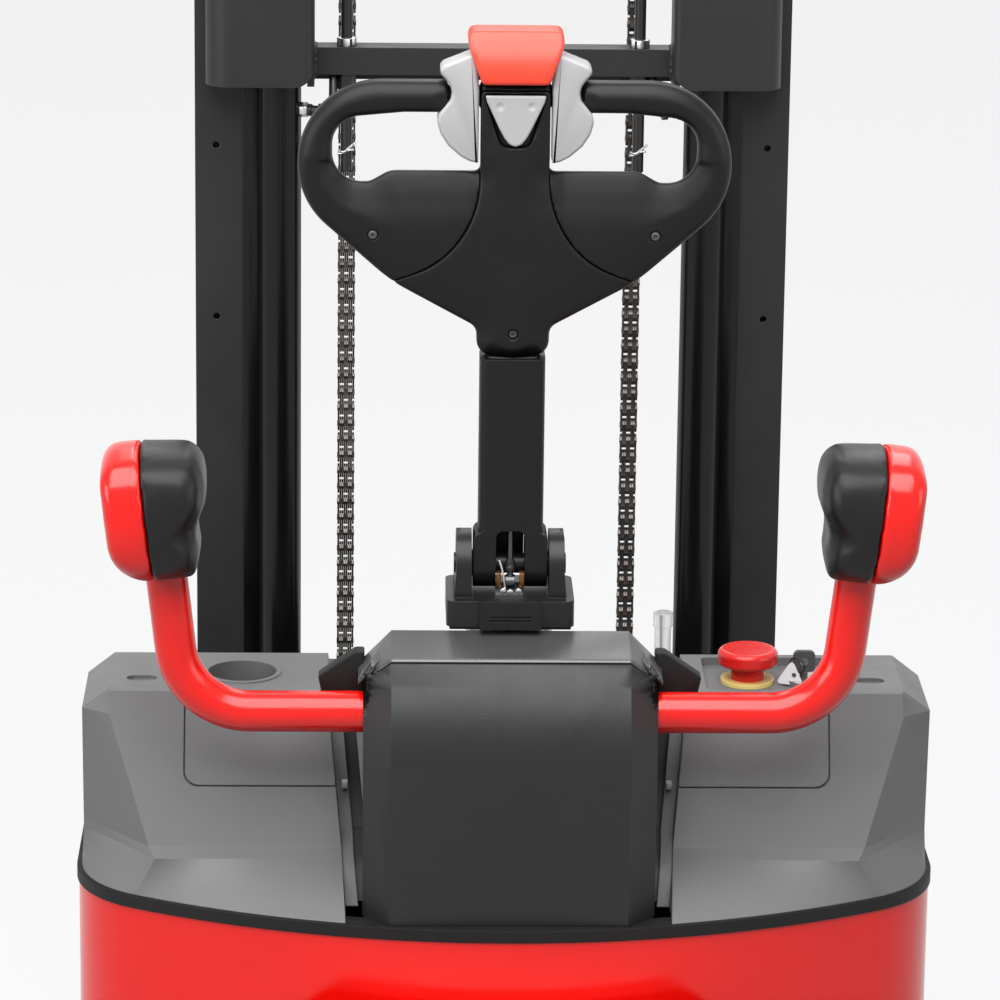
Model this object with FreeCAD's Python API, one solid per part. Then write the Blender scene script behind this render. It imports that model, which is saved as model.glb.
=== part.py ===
import FreeCAD, Part
import math
import os

os.makedirs("parts", exist_ok=True)

# Counterbalance stacker, millimetres. While it is drawn, y runs forward from the rear face of the
# body towards the fork tips, x runs to the operator's right and z is the height above the floor.

# Clearances shared by the whole machine
overrun = 6.0
running_gap = 0.3
bearing_gap = 0.05
tiny = 0.001

# Body shell: bowed rear, round corners
body_width = 850.0
rear_radius = 750.0
corner_radius = 115.0
body_bottom = 72.0
trim_bottom = 602.0
trim_height = 12.0
trim_proud = 2.0
body_wall = 46.0
wheel_bay_wall = 22.0
ring_headroom = 10.0
drive_bay_front = 330.0
castor_pocket_top = 232.0

# Battery bay behind the mast
bay_front = 872.0
bay_top = 552.0
panel_wall = 6.0
panel_bottom = 110.0
lid_height = 20.0
lid_gap = 4.0
lid_pull_width = 120.0
lid_hinge_x = 230.0
lid_hinge_offset = 12.0
lid_hinge_pin = 5.0
lid_knuckle_radius = 9.0
lid_knuckle_half = 30.0
lid_post = 14.0
battery_side_gap = 22.0
battery_height = 380.0
battery_terminal_radius = 11.0
battery_terminal_height = 16.0
cell_rows = 2
cell_columns = 6
cell_lid_height = 8.0
cell_gap = 24.0

# Chassis plates
floor_plate = 12.0
floor_level = 118.0
rail_width = 14.0
rail_inset = 53.0
rail_x = body_width / 2 - rail_inset
rail_height = 210.0
drive_plate_level = 300.0
drive_plate = 20.0
front_plate = 20.0
front_plate_top = 520.0
axle_beam_height = 74.0
axle_beam_depth = 60.0

# Drive and steering
steer_y = 150.0
drive_wheel_radius = 115.0
drive_wheel_width = 74.0
drive_shoulder = 6.0
hub_radius = 34.0
gearbox_width = 52.0
gearbox_radius = 62.0
gearbox_neck_share = 0.4
wheel_side_gap = 3.0
ring_radius = 122.0
ring_height = 26.0
motor_radius = 88.0
motor_height = 236.0
motor_fin_count = 12
motor_fin = 8.0
motor_fin_depth = 6.0
column_radius = 42.0
column_flange_radius = 70.0

# Side covers: ledge above the trim, incline, flat top
cover_inset = 3.0
cover_top = 800.0
cover_shoulder = 779.0
ledge_low = 652.0
ledge_high = 660.0
ledge_low_y = 98.0
ledge_high_y = 112.0
cover_top_y = 173.0
cover_front = 301.0
cover_inner_low = 158.0
cover_inner_top = 178.0
cover_wall = 6.0
ledge_corner_low_x = 345.0
ledge_corner_x = 352.0
shoulder_corner_x = 392.0
cover_side_inset = 5.0
cover_side_x = body_width / 2 - cover_side_inset
ledge_corner_y = 195.0
shoulder_corner_y = 185.0
top_edge_x = 391.0
top_side_x = 393.0
top_corner_y = 182.0
cup_x = 263.0
cup_y = 236.0
cup_radius = 34.0
cup_depth = 70.0
cup_rim = 5.0
cup_rim_height = 1.5
oval_x = 362.0
oval_y = 216.0
oval_length = 30.0
oval_width = 17.0
oval_depth = 4.0
service_outer_x = 317.0
service_low_z = 715.0
service_high_z = 793.0
service_corner = 14.0
service_thick = 4.0
service_gap = 1.5

# Switch tray in the right cover
tray_inner_x = 198.0
tray_outer_x = 330.0
tray_rear_y = 184.0
tray_front_y = 292.0
tray_depth = 9.0
tray_corner = 8.0
stop_x = 242.0
stop_y = 240.0
stop_ring_radius = 27.0
stop_ring_height = 4.0
stop_body_radius = 21.0
stop_body_depth = 26.0
stop_stem_radius = 16.5
stop_cap_radius = 30.0
stop_cap_height = 16.0
stop_lift = 15.0
stop_stem_depth = 10.0
stop_cap_round = 6.0
key_x = 298.0
key_y = 236.0
lock_radius = 14.0
lock_height = 6.0
lock_depth = 24.0
key_blade_width = 8.0
key_blade_depth = 12.0
key_neck = 6.0
key_head_width = 22.0
key_head_height = 22.0
key_head_thick = 5.0
key_hole_radius = 4.0

# Centre cover and its lid
centre_half = 142.0
centre_facet_x = 115.0
centre_rear_y = 12.0
centre_facet_y = 40.0
centre_front = 292.0
centre_ridge = 878.5
centre_eaves = 851.0
centre_tall_front = 102.0
centre_wall = 4.0
column_hole = 46.0
centre_lid_thick = 4.0
centre_lid_over = 5.0
centre_lid_step = 2.0
centre_lid_round = 2.5
tab_half = 30.0
tab_height = 28.5
tab_thick = 10.0
tab_round = 6.0
tab_groove = 1.5
tab_groove_half = 20.0
tab_groove_low = 8.5
tab_groove_pitch = 3.5

# Side arms and pads
arm_y = 70.0
arm_z = 813.0
arm_radius = 20.0
arm_wall = 3.0
arm_corner_x = 323.0
arm_bend = 72.0
arm_splay = 6.5
bearing_inner_x = 76.0
bearing_outer_x = 116.0
bearing_wall = 6.0
arm_root_x = 58.0
bearing_plate = 14.0
pad_low = 961.0
pad_height = 110.0
seam_offset = 10.0
shell_offset = 49.0
cushion_offset = 48.0
cushion_waist = 29.0
cushion_flare = 33.0
cushion_draw = 14.0
cushion_full_share = 0.35
cushion_waist_share = 0.62
cushion_station_shares = (-1.0, -0.86, -0.5, 0.5, 0.86, 1.0)
cushion_crown_shares = (0.62, 0.88, 1.0, 1.0, 0.88, 0.62)
cushion_toe_round = 4.5
arm_into_pad = 46.0
pad_depth = 110.0
shell_round = 18.0
shell_edge = 13.0
shell_sweep = 38.0
pad_big_round = 40.0
pad_gap = 0.3
cushion_top_round = 20.0
cushion_top_fall = 6.0

# Tiller
tiller_z = 940.0
base_half = 62.0
base_thick = 26.0
ear_gap = 1.5
ear_thick = 15.0
ear_radius = 34.0
base_depth = 92.0
base_gap = 3.0
ear_flare = 4.0
ear_top_round = 5.0
cradle_radius = 34.0
pin_radius = 10.0
spacer_radius = 13.0
tiller_half = 31.5
foot_half = 36.0
foot_top = 972.0
foot_taper = 8.0
tiller_depth = 46.0
tiller_wall = 6.0
tiller_round = 9.0
slot_half = 14.0
slot_top = 978.0
head_low = 1149.0
spring_radius = 9.0
spring_rod_radius = 3.0
spring_eye_radius = 7.0
spring_top = 1108.0
spring_neck_share = 0.654
spring_eye_z = 926.0
spring_eye_y = 133.0

# Tiller head: one moulded loop with two finger holes and a core panel
head_neck_half = 35.0
head_neck_top = 1177.0
head_elbow_x = 118.0
head_elbow_z = 1222.0
head_elbow_round = 160.0
head_wing_z = 1300.0
head_half = 207.0
head_top = 1417.0
head_thick = 35.0
head_edge_round = 13.0
head_corner = 80.0
spigot_length = 36.0
head_wing_corner = 80.0
neck_corner = 12.0
hole_inner_x = 33.0
hole_outer_x = 174.0
hole_low = 1329.0
hole_high = 1386.5
hole_end_round = 28.0
hole_inner_corner = 5.0
hole_shoulder_z = 1380.0
hole_taper_x = 106.0
scoop_start_x = 119.0
scoop_end_x = 138.0
scoop_z = 1318.0
scoop_round = 24.0
grip_end_x = 65.0
grip_shaft_radius = 9.0
core_half = 33.0
core_flare_x = 130.0
core_flare_z = 1215.0
core_waist_z = 1258.0
core_seam_radius = 100.0
core_top = 1409.0
core_proud = 2.0
core_depth = 16.0
core_top_round = 4.0
head_screw_x = 135.0
head_screw_z = 1269.0
neck_screw_z = 1172.5
screw_recess_radius = 5.0
screw_recess_depth = 5.0
button_top_half = 45.5
button_low_half = 32.0
button_low = 1414.6
button_shoulder = 1452.0
button_top = 1466.0
button_depth = 56.0
button_round = 7.0
button_stem_half = 20.0
button_stem_depth = 12.0
button_stem_shift = 5.0
button_stem_length = 40.0
button_travel = 6.0
shield_half = 30.0
shield_top = 1406.5
shield_top_round = 3.0
shield_point = 1355.5
shield_point_half = 13.5
shield_point_round = 10.0
shield_thick = 7.0
shield_proud = 3.0
shield_travel = 3.0
shield_gap = 0.4
switch_inner_x = 34.5
switch_waist_x = 62.5
switch_waist = 18.5
switch_lobe_x = 75.5
switch_lobe_round = 6.0
switch_notch_round = 5.0
switch_heel_x = 73.0
switch_heel_z = 1356.0
switch_heel_round = 20.0
switch_bottom = 1337.5
switch_tip_x = 71.0
switch_tip_z = 1435.5
switch_crest_x = 46.0
switch_top = 1443.5
switch_knee_z = 1404.0
switch_thick = 36.0
switch_edge = 3.0
switch_rim = 2.0

# Outer mast: two channels that open inwards
mast_setback = 191.0
mast_y = bay_front + mast_setback
mast_depth = 120.0
load_wheel_inset = 43.0
load_wheel_x = body_width / 2 - load_wheel_inset
load_wheel_setback = 45.0
load_wheel_y = mast_y - load_wheel_setback
mast_inset = 44.0
mast_half = load_wheel_x - mast_inset
mast_flange = 62.0
mast_wall = 12.0
mast_bottom = 62.0
mast_top = 2050.0
mast_hole_inset = 24.0
mast_hole_low = 967.0
mast_hole_pitch = 200.0
mast_hole_radius = 4.0
beam_bottom = 1251.5
beam_height = 31.5
beam_setback = 15.0
beam_y = mast_y - beam_setback
beam_depth = 24.0
bracket_width = 123.0
bracket_inset = 13.0
bracket_outer_x = mast_half - bracket_inset
bracket_inner_x = bracket_outer_x - bracket_width
bracket_bottom = 1243.0
bracket_height = 190.0
bracket_reach = 53.0
bracket_rear_y = mast_y - bracket_reach
bracket_plate = 8.0
bracket_bend = 30.0
bracket_inner_bend = 10.0
bracket_corner = 24.0
foot_beam_height = 90.0
foot_plate = 12.0
upper_tie = 1560.0

# Lift cylinders and chains
cylinder_inset = 97.0
cylinder_x = mast_half - cylinder_inset
cylinder_setback = 13.0
cylinder_y = mast_y - cylinder_setback
cylinder_radius = 24.0
cylinder_bore = 18.5
cylinder_top = 1850.0
gland_radius = 27.0
gland_height = 46.0
rod_radius = 18.0
rod_foot = 330.0
chain_inset = 36.0
chain_x = bracket_inner_x - chain_inset
chain_pitch = 19.05
chain_width = 20.0
chain_waist = 14.0
chain_depth = 17.0
sheave_ahead = 45.5
sheave_y = mast_y + sheave_ahead
sheave_z = 1940.0
sheave_radius = 40.0
sheave_flange = 48.0
sheave_width = 30.0
sheave_pin = 12.0
sheave_cheek = 8.0
anchor_radius = 6.5
anchor_nut = 11.0
anchor_nut_height = 9.0
anchor_low = 1140.0
anchor_eye_top = 1400.0
anchor_eye = 24.0

# Inner mast
inner_inset = 18.0
inner_half = mast_half - inner_inset
inner_wall = 12.0
inner_flange = 50.0
inner_gap = 4.0
inner_bottom = 80.0
inner_top = 2040.0
head_beam_height = 40.0
head_beam_depth = 61.0
inner_tie_low = 190.0
inner_tie_height = 40.0
inner_tie_mid = 1241.0

# Fork carriage
carriage_inset = 76.0
carriage_plate_x = mast_half - carriage_inset
carriage_plate = 16.0
carriage_low = 96.0
carriage_high = 500.0
carriage_ahead = 32.0
carriage_rear_y = mast_y + carriage_ahead
carriage_tie_ahead = 73.0
carriage_tie_y = carriage_rear_y + carriage_tie_ahead
carriage_tie = 22.0
carriage_tie_low = 220.0
carriage_tie_height = 110.0
carriage_round = 40.0
chain_lug_half = 12.0
chain_lug_height = 40.0
roller_width = 40.0
roller_pin = 16.0
roller_low = 150.0
roller_high = 430.0
bar_ahead = 54.0
bar_y = carriage_tie_y + bar_ahead
bar_thick = 30.0
bar_height = 76.0
bar_inset = 8.0
bar_half = mast_half - bar_inset
bar_low = 92.0
bar_high = 396.0
fork_width = 100.0
fork_thick = 35.0
fork_length = 1070.0
fork_x = 190.0
fork_blade_low = 44.0
fork_tip = 10.0
fork_tip_width = 62.0
fork_shank_top = 488.0
hook_lip = 18.0
hook_height = 16.0
fork_heel = 30.0
fork_blade_bend = 130.0
fork_tip_round = 15.5

# Wheels
load_wheel_radius = 115.0
load_wheel_width = 70.0
load_tyre = 26.0
load_shoulder = 8.5
load_dish = 14.0
axle_radius = 20.0
axle_cap = 5.0
castor_inset = 125.0
castor_x = body_width / 2 - castor_inset
castor_y = 190.0
castor_radius = 62.5
castor_width = 44.0
castor_trail = 30.0
castor_fork = 7.0
castor_fork_gap = 4.0
castor_pin_radius = 9.0
castor_stem_radius = 12.0
castor_stem_height = 40.0
castor_disc_radius = 40.0
castor_disc = 14.0
castor_swing_gap = 10.0
castor_toe = 16.0
castor_cheek_half = 32.0
castor_shoulder = 9.0

# Folding platform
platform_hinge_y = -22.0
platform_hinge_z = 165.0
platform_pin_radius = 9.0
platform_barrel = 13.0
platform_half = 230.0
platform_length = 372.0
platform_thick = 26.0
platform_corner = 60.0
platform_lip = 8.0
mat_thick = 5.0
mat_margin = 18.0
platform_lug_x = 236.0
platform_lug = 16.0
platform_lug_reach = 60.0

# Hydraulic pump, controller and oil tank
pump_x = 250.0
pump_y = 232.0
pump_radius = 46.0
pump_height = 200.0
pump_block = 60.0
well_gap = 12.0
well_floor = 278.0
control_height = 150.0
control_rib = 6.0
control_rib_count = 6
tank_inner_x = 148.0
tank_outer_x = 300.0
tank_gap = 3.0
tank_height = 170.0
tank_round = 8.0
filler_x = 161.0
filler_radius = 8.5
filler_neck = 68.0
filler_cap = 14.0
filler_cap_radius = 10.0

rear_end_y = platform_hinge_y - platform_thick / 2 - platform_lip
fork_root_y = bar_y + bar_thick
fork_tip_y = fork_root_y + fork_thick + fork_length
middle_y = (rear_end_y + fork_tip_y) / 2
trim_top = trim_bottom + trim_height
x_axis = FreeCAD.Vector(1, 0, 0)
y_axis = FreeCAD.Vector(0, 1, 0)
z_axis = FreeCAD.Vector(0, 0, 1)
sides = (("left", -1), ("right", 1))


def vec(x, y, z):
    return FreeCAD.Vector(x, y, z)


def box(x0, x1, y0, y1, z0, z1):
    return Part.makeBox(x1 - x0, y1 - y0, z1 - z0, vec(x0, y0, z0))


def rod(radius, start, axis, length):
    return Part.makeCylinder(radius, length, start, axis)


def tube(radius, bore, start, axis, length):
    """A ring: the bore runs past both ends of the cylinder."""
    hole = rod(bore, start - axis * overrun, axis, length + overrun + overrun)
    return rod(radius, start, axis, length).cut(hole)


def fuse(shapes):
    """One clean solid from touching shapes."""
    whole = shapes[0]
    for shape in shapes[1:]:
        whole = whole.fuse(shape)
    return whole.removeSplitter()


def mirrored(shape, side):
    """The shape is drawn on the right; the left one is its mirror image."""
    if side > 0:
        return shape
    return shape.mirror(vec(0, 0, 0), x_axis)


def plan(z):
    return lambda u, v: vec(u, v, z)


def across(y):
    return lambda u, v: vec(u, y, v)


def along(x):
    return lambda u, v: vec(x, u, v)


def rounded_wire(corners, plane):
    """Closed wire of straight runs and tangent arcs; each corner is (u, v, radius)."""
    turns = []
    count = len(corners)
    for index, (u, v, radius) in enumerate(corners):
        here = vec(u, v, 0)
        back = vec(*corners[index - 1][:2], 0) - here
        ahead = vec(*corners[(index + 1) % count][:2], 0) - here
        back.normalize()
        ahead.normalize()
        half_turn = back.getAngle(ahead) / 2
        reach = radius / math.tan(half_turn)
        inward = back + ahead
        inward.normalize()
        sag = radius / math.sin(half_turn) - radius
        turns.append((here + back * reach, here + inward * sag, here + ahead * reach))
    edges = []
    for index, (start, middle, end) in enumerate(turns):
        following = turns[(index + 1) % count][0]
        if (end - start).Length > tiny:
            points = [plane(point.x, point.y) for point in (start, middle, end)]
            edges.append(Part.Arc(*points).toShape())
        if (following - end).Length > tiny:
            segment = Part.LineSegment(plane(end.x, end.y), plane(following.x, following.y))
            edges.append(segment.toShape())
    return Part.Wire(edges)


def slab(corners, plane, sweep):
    """A rounded outline swept straight along a vector."""
    return Part.Face(rounded_wire(corners, plane)).extrude(sweep)


def sharp(points, radius=0):
    """The same corner radius on every point."""
    return [(u, v, radius) for u, v in points]


def body_arcs(inset):
    """Centres and tangent points of the bowed rear and the round corners, inset from the body."""
    corner_x = body_width / 2 - corner_radius
    corner_y = rear_radius - math.sqrt((rear_radius - corner_radius) ** 2 - corner_x**2)
    reach = rear_radius - corner_radius
    tangent = vec(corner_x / reach, (corner_y - rear_radius) / reach, 0)
    join = vec(0, rear_radius, 0) + tangent * (rear_radius - inset)
    outward = tangent + x_axis
    outward.normalize()
    corner_mid = vec(corner_x, corner_y, 0) + outward * (corner_radius - inset)
    side = vec(body_width / 2 - inset, corner_y, 0)
    return join, corner_mid, side


def bowed_y(x, inset):
    """Depth of the bowed rear at a distance from the centre line."""
    return rear_radius - math.sqrt((rear_radius - inset) ** 2 - x**2)


def body_outline(inset, front, z):
    """Closed plan outline of the body at one height."""
    join, mid, side = body_arcs(inset)
    here = plan(z)
    rear = Part.Arc(here(-join.x, join.y), here(0, inset), here(join.x, join.y))
    right = Part.Arc(here(join.x, join.y), here(mid.x, mid.y), here(side.x, side.y))
    left = Part.Arc(here(-side.x, side.y), here(-mid.x, mid.y), here(-join.x, join.y))
    runs = [
        rear,
        right,
        Part.LineSegment(here(side.x, side.y), here(side.x, front)),
        Part.LineSegment(here(side.x, front), here(-side.x, front)),
        Part.LineSegment(here(-side.x, front), here(-side.x, side.y)),
        left,
    ]
    return Part.Wire([run.toShape() for run in runs])


def body_block(inset, front, low, high):
    return Part.Face(body_outline(inset, front, low)).extrude(z_axis * (high - low))


def drive_bay(rear, top):
    """Space for the drive unit, open below and in front, with round rear corners."""
    half = cover_inner_top
    corners = [
        (-half, rear, body_wall),
        (half, rear, body_wall),
        (half, drive_bay_front + overrun, 0),
        (-half, drive_bay_front + overrun, 0),
    ]
    return slab(corners, plan(body_bottom - overrun), z_axis * (top - body_bottom + overrun))


def counterweight():
    """Red cast body: solid rear and corners, open drive bay, two castor pockets underneath."""
    weight = body_block(0, drive_bay_front, body_bottom, trim_bottom)
    ring_top = drive_plate_level + drive_plate + ring_height + ring_headroom
    weight = weight.cut(drive_bay(body_wall, trim_top)).cut(drive_bay(wheel_bay_wall, ring_top))
    for name, side in sides:
        pocket = rod(
            castor_radius + castor_trail + castor_swing_gap,
            vec(side * castor_x, castor_y, body_bottom - overrun),
            z_axis,
            castor_pocket_top - body_bottom + overrun,
        )
        stem_hole = rod(
            castor_stem_radius + bearing_gap,
            vec(side * castor_x, castor_y, castor_pocket_top),
            z_axis,
            castor_stem_height + running_gap,
        )
        well = box(
            pump_x - pump_block - well_gap,
            pump_x + pump_block + well_gap,
            pump_y - pump_block,
            pump_y + pump_block,
            well_floor,
            trim_bottom + overrun,
        )
        weight = weight.cut(pocket).cut(stem_hole).cut(mirrored(well, side))
    return weight


def trim_strip():
    """Black rubber strip round the top edge of the red body."""
    strip = body_block(-trim_proud, drive_bay_front, trim_bottom, trim_top)
    inner = body_block(body_wall / 2, drive_bay_front + overrun, trim_bottom - overrun, trim_top + overrun)
    return strip.cut(inner)


def cover_section(z, rear_y, inner_x, corner_x, side_x, corner_y, front):
    """Straight-sided plan section of the right-hand side cover."""
    here = plan(z)
    points = [
        here(inner_x, front),
        here(inner_x, rear_y),
        here(corner_x, rear_y),
        here(side_x, corner_y),
        here(side_x, front),
    ]
    return Part.makePolygon(points + points[:1])


def cover_foot(inset, z, inner_x, front):
    """Plan section of the cover where it follows the bowed body."""
    join, mid, side = body_arcs(inset)
    here = plan(z)
    inner = here(inner_x, bowed_y(inner_x, inset))
    half_x = (inner_x + join.x) / 2
    runs = [
        Part.LineSegment(here(inner_x, front), inner),
        Part.Arc(inner, here(half_x, bowed_y(half_x, inset)), here(join.x, join.y)),
        Part.Arc(here(join.x, join.y), here(mid.x, mid.y), here(side.x, side.y)),
        Part.LineSegment(here(side.x, side.y), here(side.x, front)),
        Part.LineSegment(here(side.x, front), here(inner_x, front)),
    ]
    return Part.Wire([run.toShape() for run in runs])


def incline_y(z):
    """Depth of the inclined rear facet at one height."""
    climb = (z - ledge_high) / (cover_top - ledge_high)
    return ledge_high_y + climb * (cover_top_y - ledge_high_y)


def inner_x_at(z):
    """The cover's inner edge leans outwards as it rises."""
    climb = (z - trim_top) / (cover_top - trim_top)
    return cover_inner_low + climb * (cover_inner_top - cover_inner_low)


def cover_loft(shrink):
    """Faceted body of a side cover; shrink draws every wall in for the hollow inside."""
    levels = [
        (ledge_low, ledge_low_y, ledge_corner_low_x, cover_side_x, ledge_corner_y),
        (ledge_high, ledge_high_y, ledge_corner_x, cover_side_x, ledge_corner_y),
        (cover_shoulder, incline_y(cover_shoulder), shoulder_corner_x, cover_side_x, shoulder_corner_y),
        (cover_top, cover_top_y, top_edge_x, top_side_x, top_corner_y),
    ]
    front = cover_front - shrink
    sections = [cover_foot(cover_inset + shrink, trim_top, cover_inner_low + shrink, front)]
    for z, rear_y, corner_x, side_x, corner_y in levels:
        inner_x = inner_x_at(z) + shrink
        rear_y += shrink
        corner_x -= shrink
        side_x -= shrink
        corner_y += shrink
        if z == cover_top:
            z -= shrink
        sections.append(cover_section(z, rear_y, inner_x, corner_x, side_x, corner_y, front))
    return Part.makeLoft(sections, True, True)


def service_slab(grow, depth):
    """Service panel in the inclined facet, out to the inner edge; grown all round for its pocket."""
    rise = cover_top - ledge_high
    run = cover_top_y - ledge_high_y
    length = math.hypot(rise, run)
    up = vec(0, run / length, rise / length)
    inward = vec(0, rise / length, -run / length)
    origin = vec(0, ledge_high_y, ledge_high)
    low = (service_low_z - ledge_high) / rise * length
    high = (service_high_z - ledge_high) / rise * length
    corners = [
        (inner_x_at(service_low_z) - grow, low - grow, service_gap),
        (service_outer_x + grow, low - grow, service_corner),
        (service_outer_x + grow, high + grow, service_gap),
        (inner_x_at(service_high_z) - grow, high + grow, service_gap),
    ]
    place = lambda u, v: origin + x_axis * u + up * v
    panel = slab(corners, place, inward * depth)
    return panel, inward


def side_cover(side):
    """Grey moulded cover: hollow, with a service pocket, a finger oval and a cup or a switch tray."""
    cover = cover_loft(0).cut(cover_loft(cover_wall))
    pocket, inward = service_slab(service_gap, service_thick)
    floor, inward = service_slab(service_gap + cover_wall, cover_wall)
    floor.translate(inward * service_thick)
    pocket_lip = pocket.copy()
    pocket_lip.translate(inward * -service_gap)
    cover = cover.fuse(floor.common(cover_loft(0))).cut(pocket).cut(pocket_lip)
    oval = slab(
        sharp(
            [
                (oval_x - oval_length / 2, oval_y - oval_width / 2),
                (oval_x + oval_length / 2, oval_y - oval_width / 2),
                (oval_x + oval_length / 2, oval_y + oval_width / 2),
                (oval_x - oval_length / 2, oval_y + oval_width / 2),
            ],
            oval_width / 2,
        ),
        plan(cover_top - oval_depth),
        z_axis * (oval_depth + overrun),
    )
    cover = cover.cut(oval)
    if side > 0:
        cover = tray_in(cover)
    else:
        well = rod(cup_radius + cover_wall, vec(cup_x, cup_y, cover_top - cup_depth), z_axis, cup_depth)
        cup_floor = vec(cup_x, cup_y, cover_top - cup_depth + cover_wall)
        bore = rod(cup_radius, cup_floor, z_axis, cup_depth + overrun)
        rim = rod(cup_radius + cup_rim, vec(cup_x, cup_y, cover_top), z_axis, cup_rim_height)
        cover = cover.fuse(well).fuse(rim).cut(bore)
    return mirrored(cover.removeSplitter(), side)


def tray_in(cover):
    """Recessed switch tray with a round hole for each switch."""
    def tray(grow, low, high):
        corners = [
            (tray_inner_x - grow, tray_rear_y - grow),
            (tray_outer_x + grow, tray_rear_y - grow),
            (tray_outer_x + grow, tray_front_y + grow),
            (tray_inner_x - grow, tray_front_y + grow),
        ]
        return slab(sharp(corners, tray_corner), plan(low), z_axis * (high - low))

    floor = cover_top - tray_depth
    pan = tray(cover_wall / 2, floor - cover_wall, cover_top).common(cover_loft(0))
    cover = cover.fuse(pan).cut(tray(0, floor, cover_top + overrun))
    for x, y, radius in ((stop_x, stop_y, stop_body_radius), (key_x, key_y, lock_radius)):
        hole = rod(radius + running_gap, vec(x, y, floor - cover_wall - overrun), z_axis, cover_top)
        cover = cover.cut(hole)
    return cover


def service_panel(side):
    """Service panel that lies flush in the inclined facet."""
    panel, inward = service_slab(0, service_thick)
    return mirrored(panel, side)


def emergency_collar():
    """Yellow ring and switch body under the mushroom button."""
    floor = cover_top - tray_depth
    low = vec(stop_x, stop_y, floor - stop_body_depth)
    body = rod(stop_body_radius, low, z_axis, stop_body_depth)
    ring = rod(stop_ring_radius, vec(stop_x, stop_y, floor), z_axis, stop_ring_height)
    bore_floor = floor - stop_body_depth + stop_ring_height
    bore = rod(stop_stem_radius + bearing_gap, vec(stop_x, stop_y, bore_floor), z_axis, cover_top)
    return fuse([body, ring]).cut(bore)


def emergency_button():
    """Red mushroom head on its stem, turned from one profile."""
    ring_top = cover_top - tray_depth + stop_ring_height
    cap_low = ring_top + stop_lift
    cap_high = cap_low + stop_cap_height
    corners = [
        (0, ring_top - stop_stem_depth, 0),
        (stop_stem_radius, ring_top - stop_stem_depth, 0),
        (stop_stem_radius, cap_low, 0),
        (stop_cap_radius, cap_low, stop_cap_round / 2),
        (stop_cap_radius, cap_high, stop_cap_round),
        (0, cap_high, 0),
    ]
    profile = Part.Face(rounded_wire(corners, across(0)))
    button = profile.revolve(vec(0, 0, 0), z_axis, 360)
    button.translate(vec(stop_x, stop_y, 0))
    return button


def key_lock():
    """Round lock barrel in the tray with a slot for the key."""
    floor = cover_top - tray_depth
    barrel = rod(lock_radius, vec(key_x, key_y, floor - lock_depth), z_axis, lock_depth)
    ring = rod(lock_radius + key_neck, vec(key_x, key_y, floor), z_axis, lock_height)
    bore = rod(
        key_blade_width / 2 + bearing_gap,
        vec(key_x, key_y, floor + lock_height - key_blade_depth - running_gap),
        z_axis,
        cover_top,
    )
    return fuse([barrel, ring]).cut(bore)


def key():
    """Key: round blade in the barrel, flat neck and a holed head."""
    top = cover_top - tray_depth + lock_height
    blade_foot = vec(key_x, key_y, top - key_blade_depth)
    blade = rod(key_blade_width / 2, blade_foot, z_axis, key_blade_depth + key_neck)
    half = key_head_width / 2
    low = top + key_neck
    corners = sharp(
        [(-half, low), (half, low), (half, low + key_head_height), (-half, low + key_head_height)],
        half / 2,
    )
    head = slab(corners, across(-key_head_thick / 2), y_axis * key_head_thick)
    hole = rod(
        key_hole_radius, vec(0, -key_head_thick, low + key_head_height / 2), y_axis, key_head_thick * 2
    )
    head = head.cut(hole)
    head.translate(vec(key_x, key_y, 0))
    return fuse([blade, head])


def centre_plan(inset, z):
    """Plan section of the centre cover: two vertical facets at the rear corners."""
    half = centre_half - inset
    facet = centre_facet_x - inset / 2
    points = [
        (-half, centre_facet_y),
        (-facet, centre_rear_y + inset),
        (facet, centre_rear_y + inset),
        (half, centre_facet_y),
        (half, centre_front - inset),
        (-half, centre_front - inset),
    ]
    here = plan(z)
    return Part.makePolygon([here(u, v) for u, v in points + points[:1]])


def roof_z(x):
    """Height of the centre cover's roof: level over the arm bearings, sloping down at both ends."""
    slope = (centre_ridge - centre_eaves) / (centre_half - centre_facet_x)
    return centre_ridge - slope * max(0, abs(x) - centre_facet_x)


def roof_line(half, rise):
    """Points along the roof from right to left, raised by a height."""
    return [(x, roof_z(x) + rise) for x in (half, centre_facet_x, -centre_facet_x, -half)]


def centre_form(inset, low):
    """Outside of the centre cover, drawn in for the hollow: tall at the rear, a low shelf ahead of it."""
    block = Part.Face(centre_plan(inset, low)).extrude(z_axis * (centre_ridge - low))
    profile = roof_line(centre_half, -inset) + [(-centre_half, low), (centre_half, low)]
    tall = slab(sharp(profile), across(0), y_axis * (centre_tall_front - inset))
    shelf = box(-centre_half, centre_half, centre_rear_y, centre_front, low, cover_top - inset)
    return block.common(fuse([tall, shelf]))


def centre_cover():
    """Dark hollow cover round the drive unit, with holes for the column and the two arms."""
    cover = centre_form(0, trim_top).cut(centre_form(centre_wall, trim_top - overrun))
    column = rod(column_hole, vec(0, steer_y, trim_top), z_axis, centre_ridge - trim_top)
    arms = rod(arm_radius + running_gap, vec(-body_width / 2, arm_y, arm_z), x_axis, body_width)
    return cover.cut(column).cut(arms)


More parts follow.
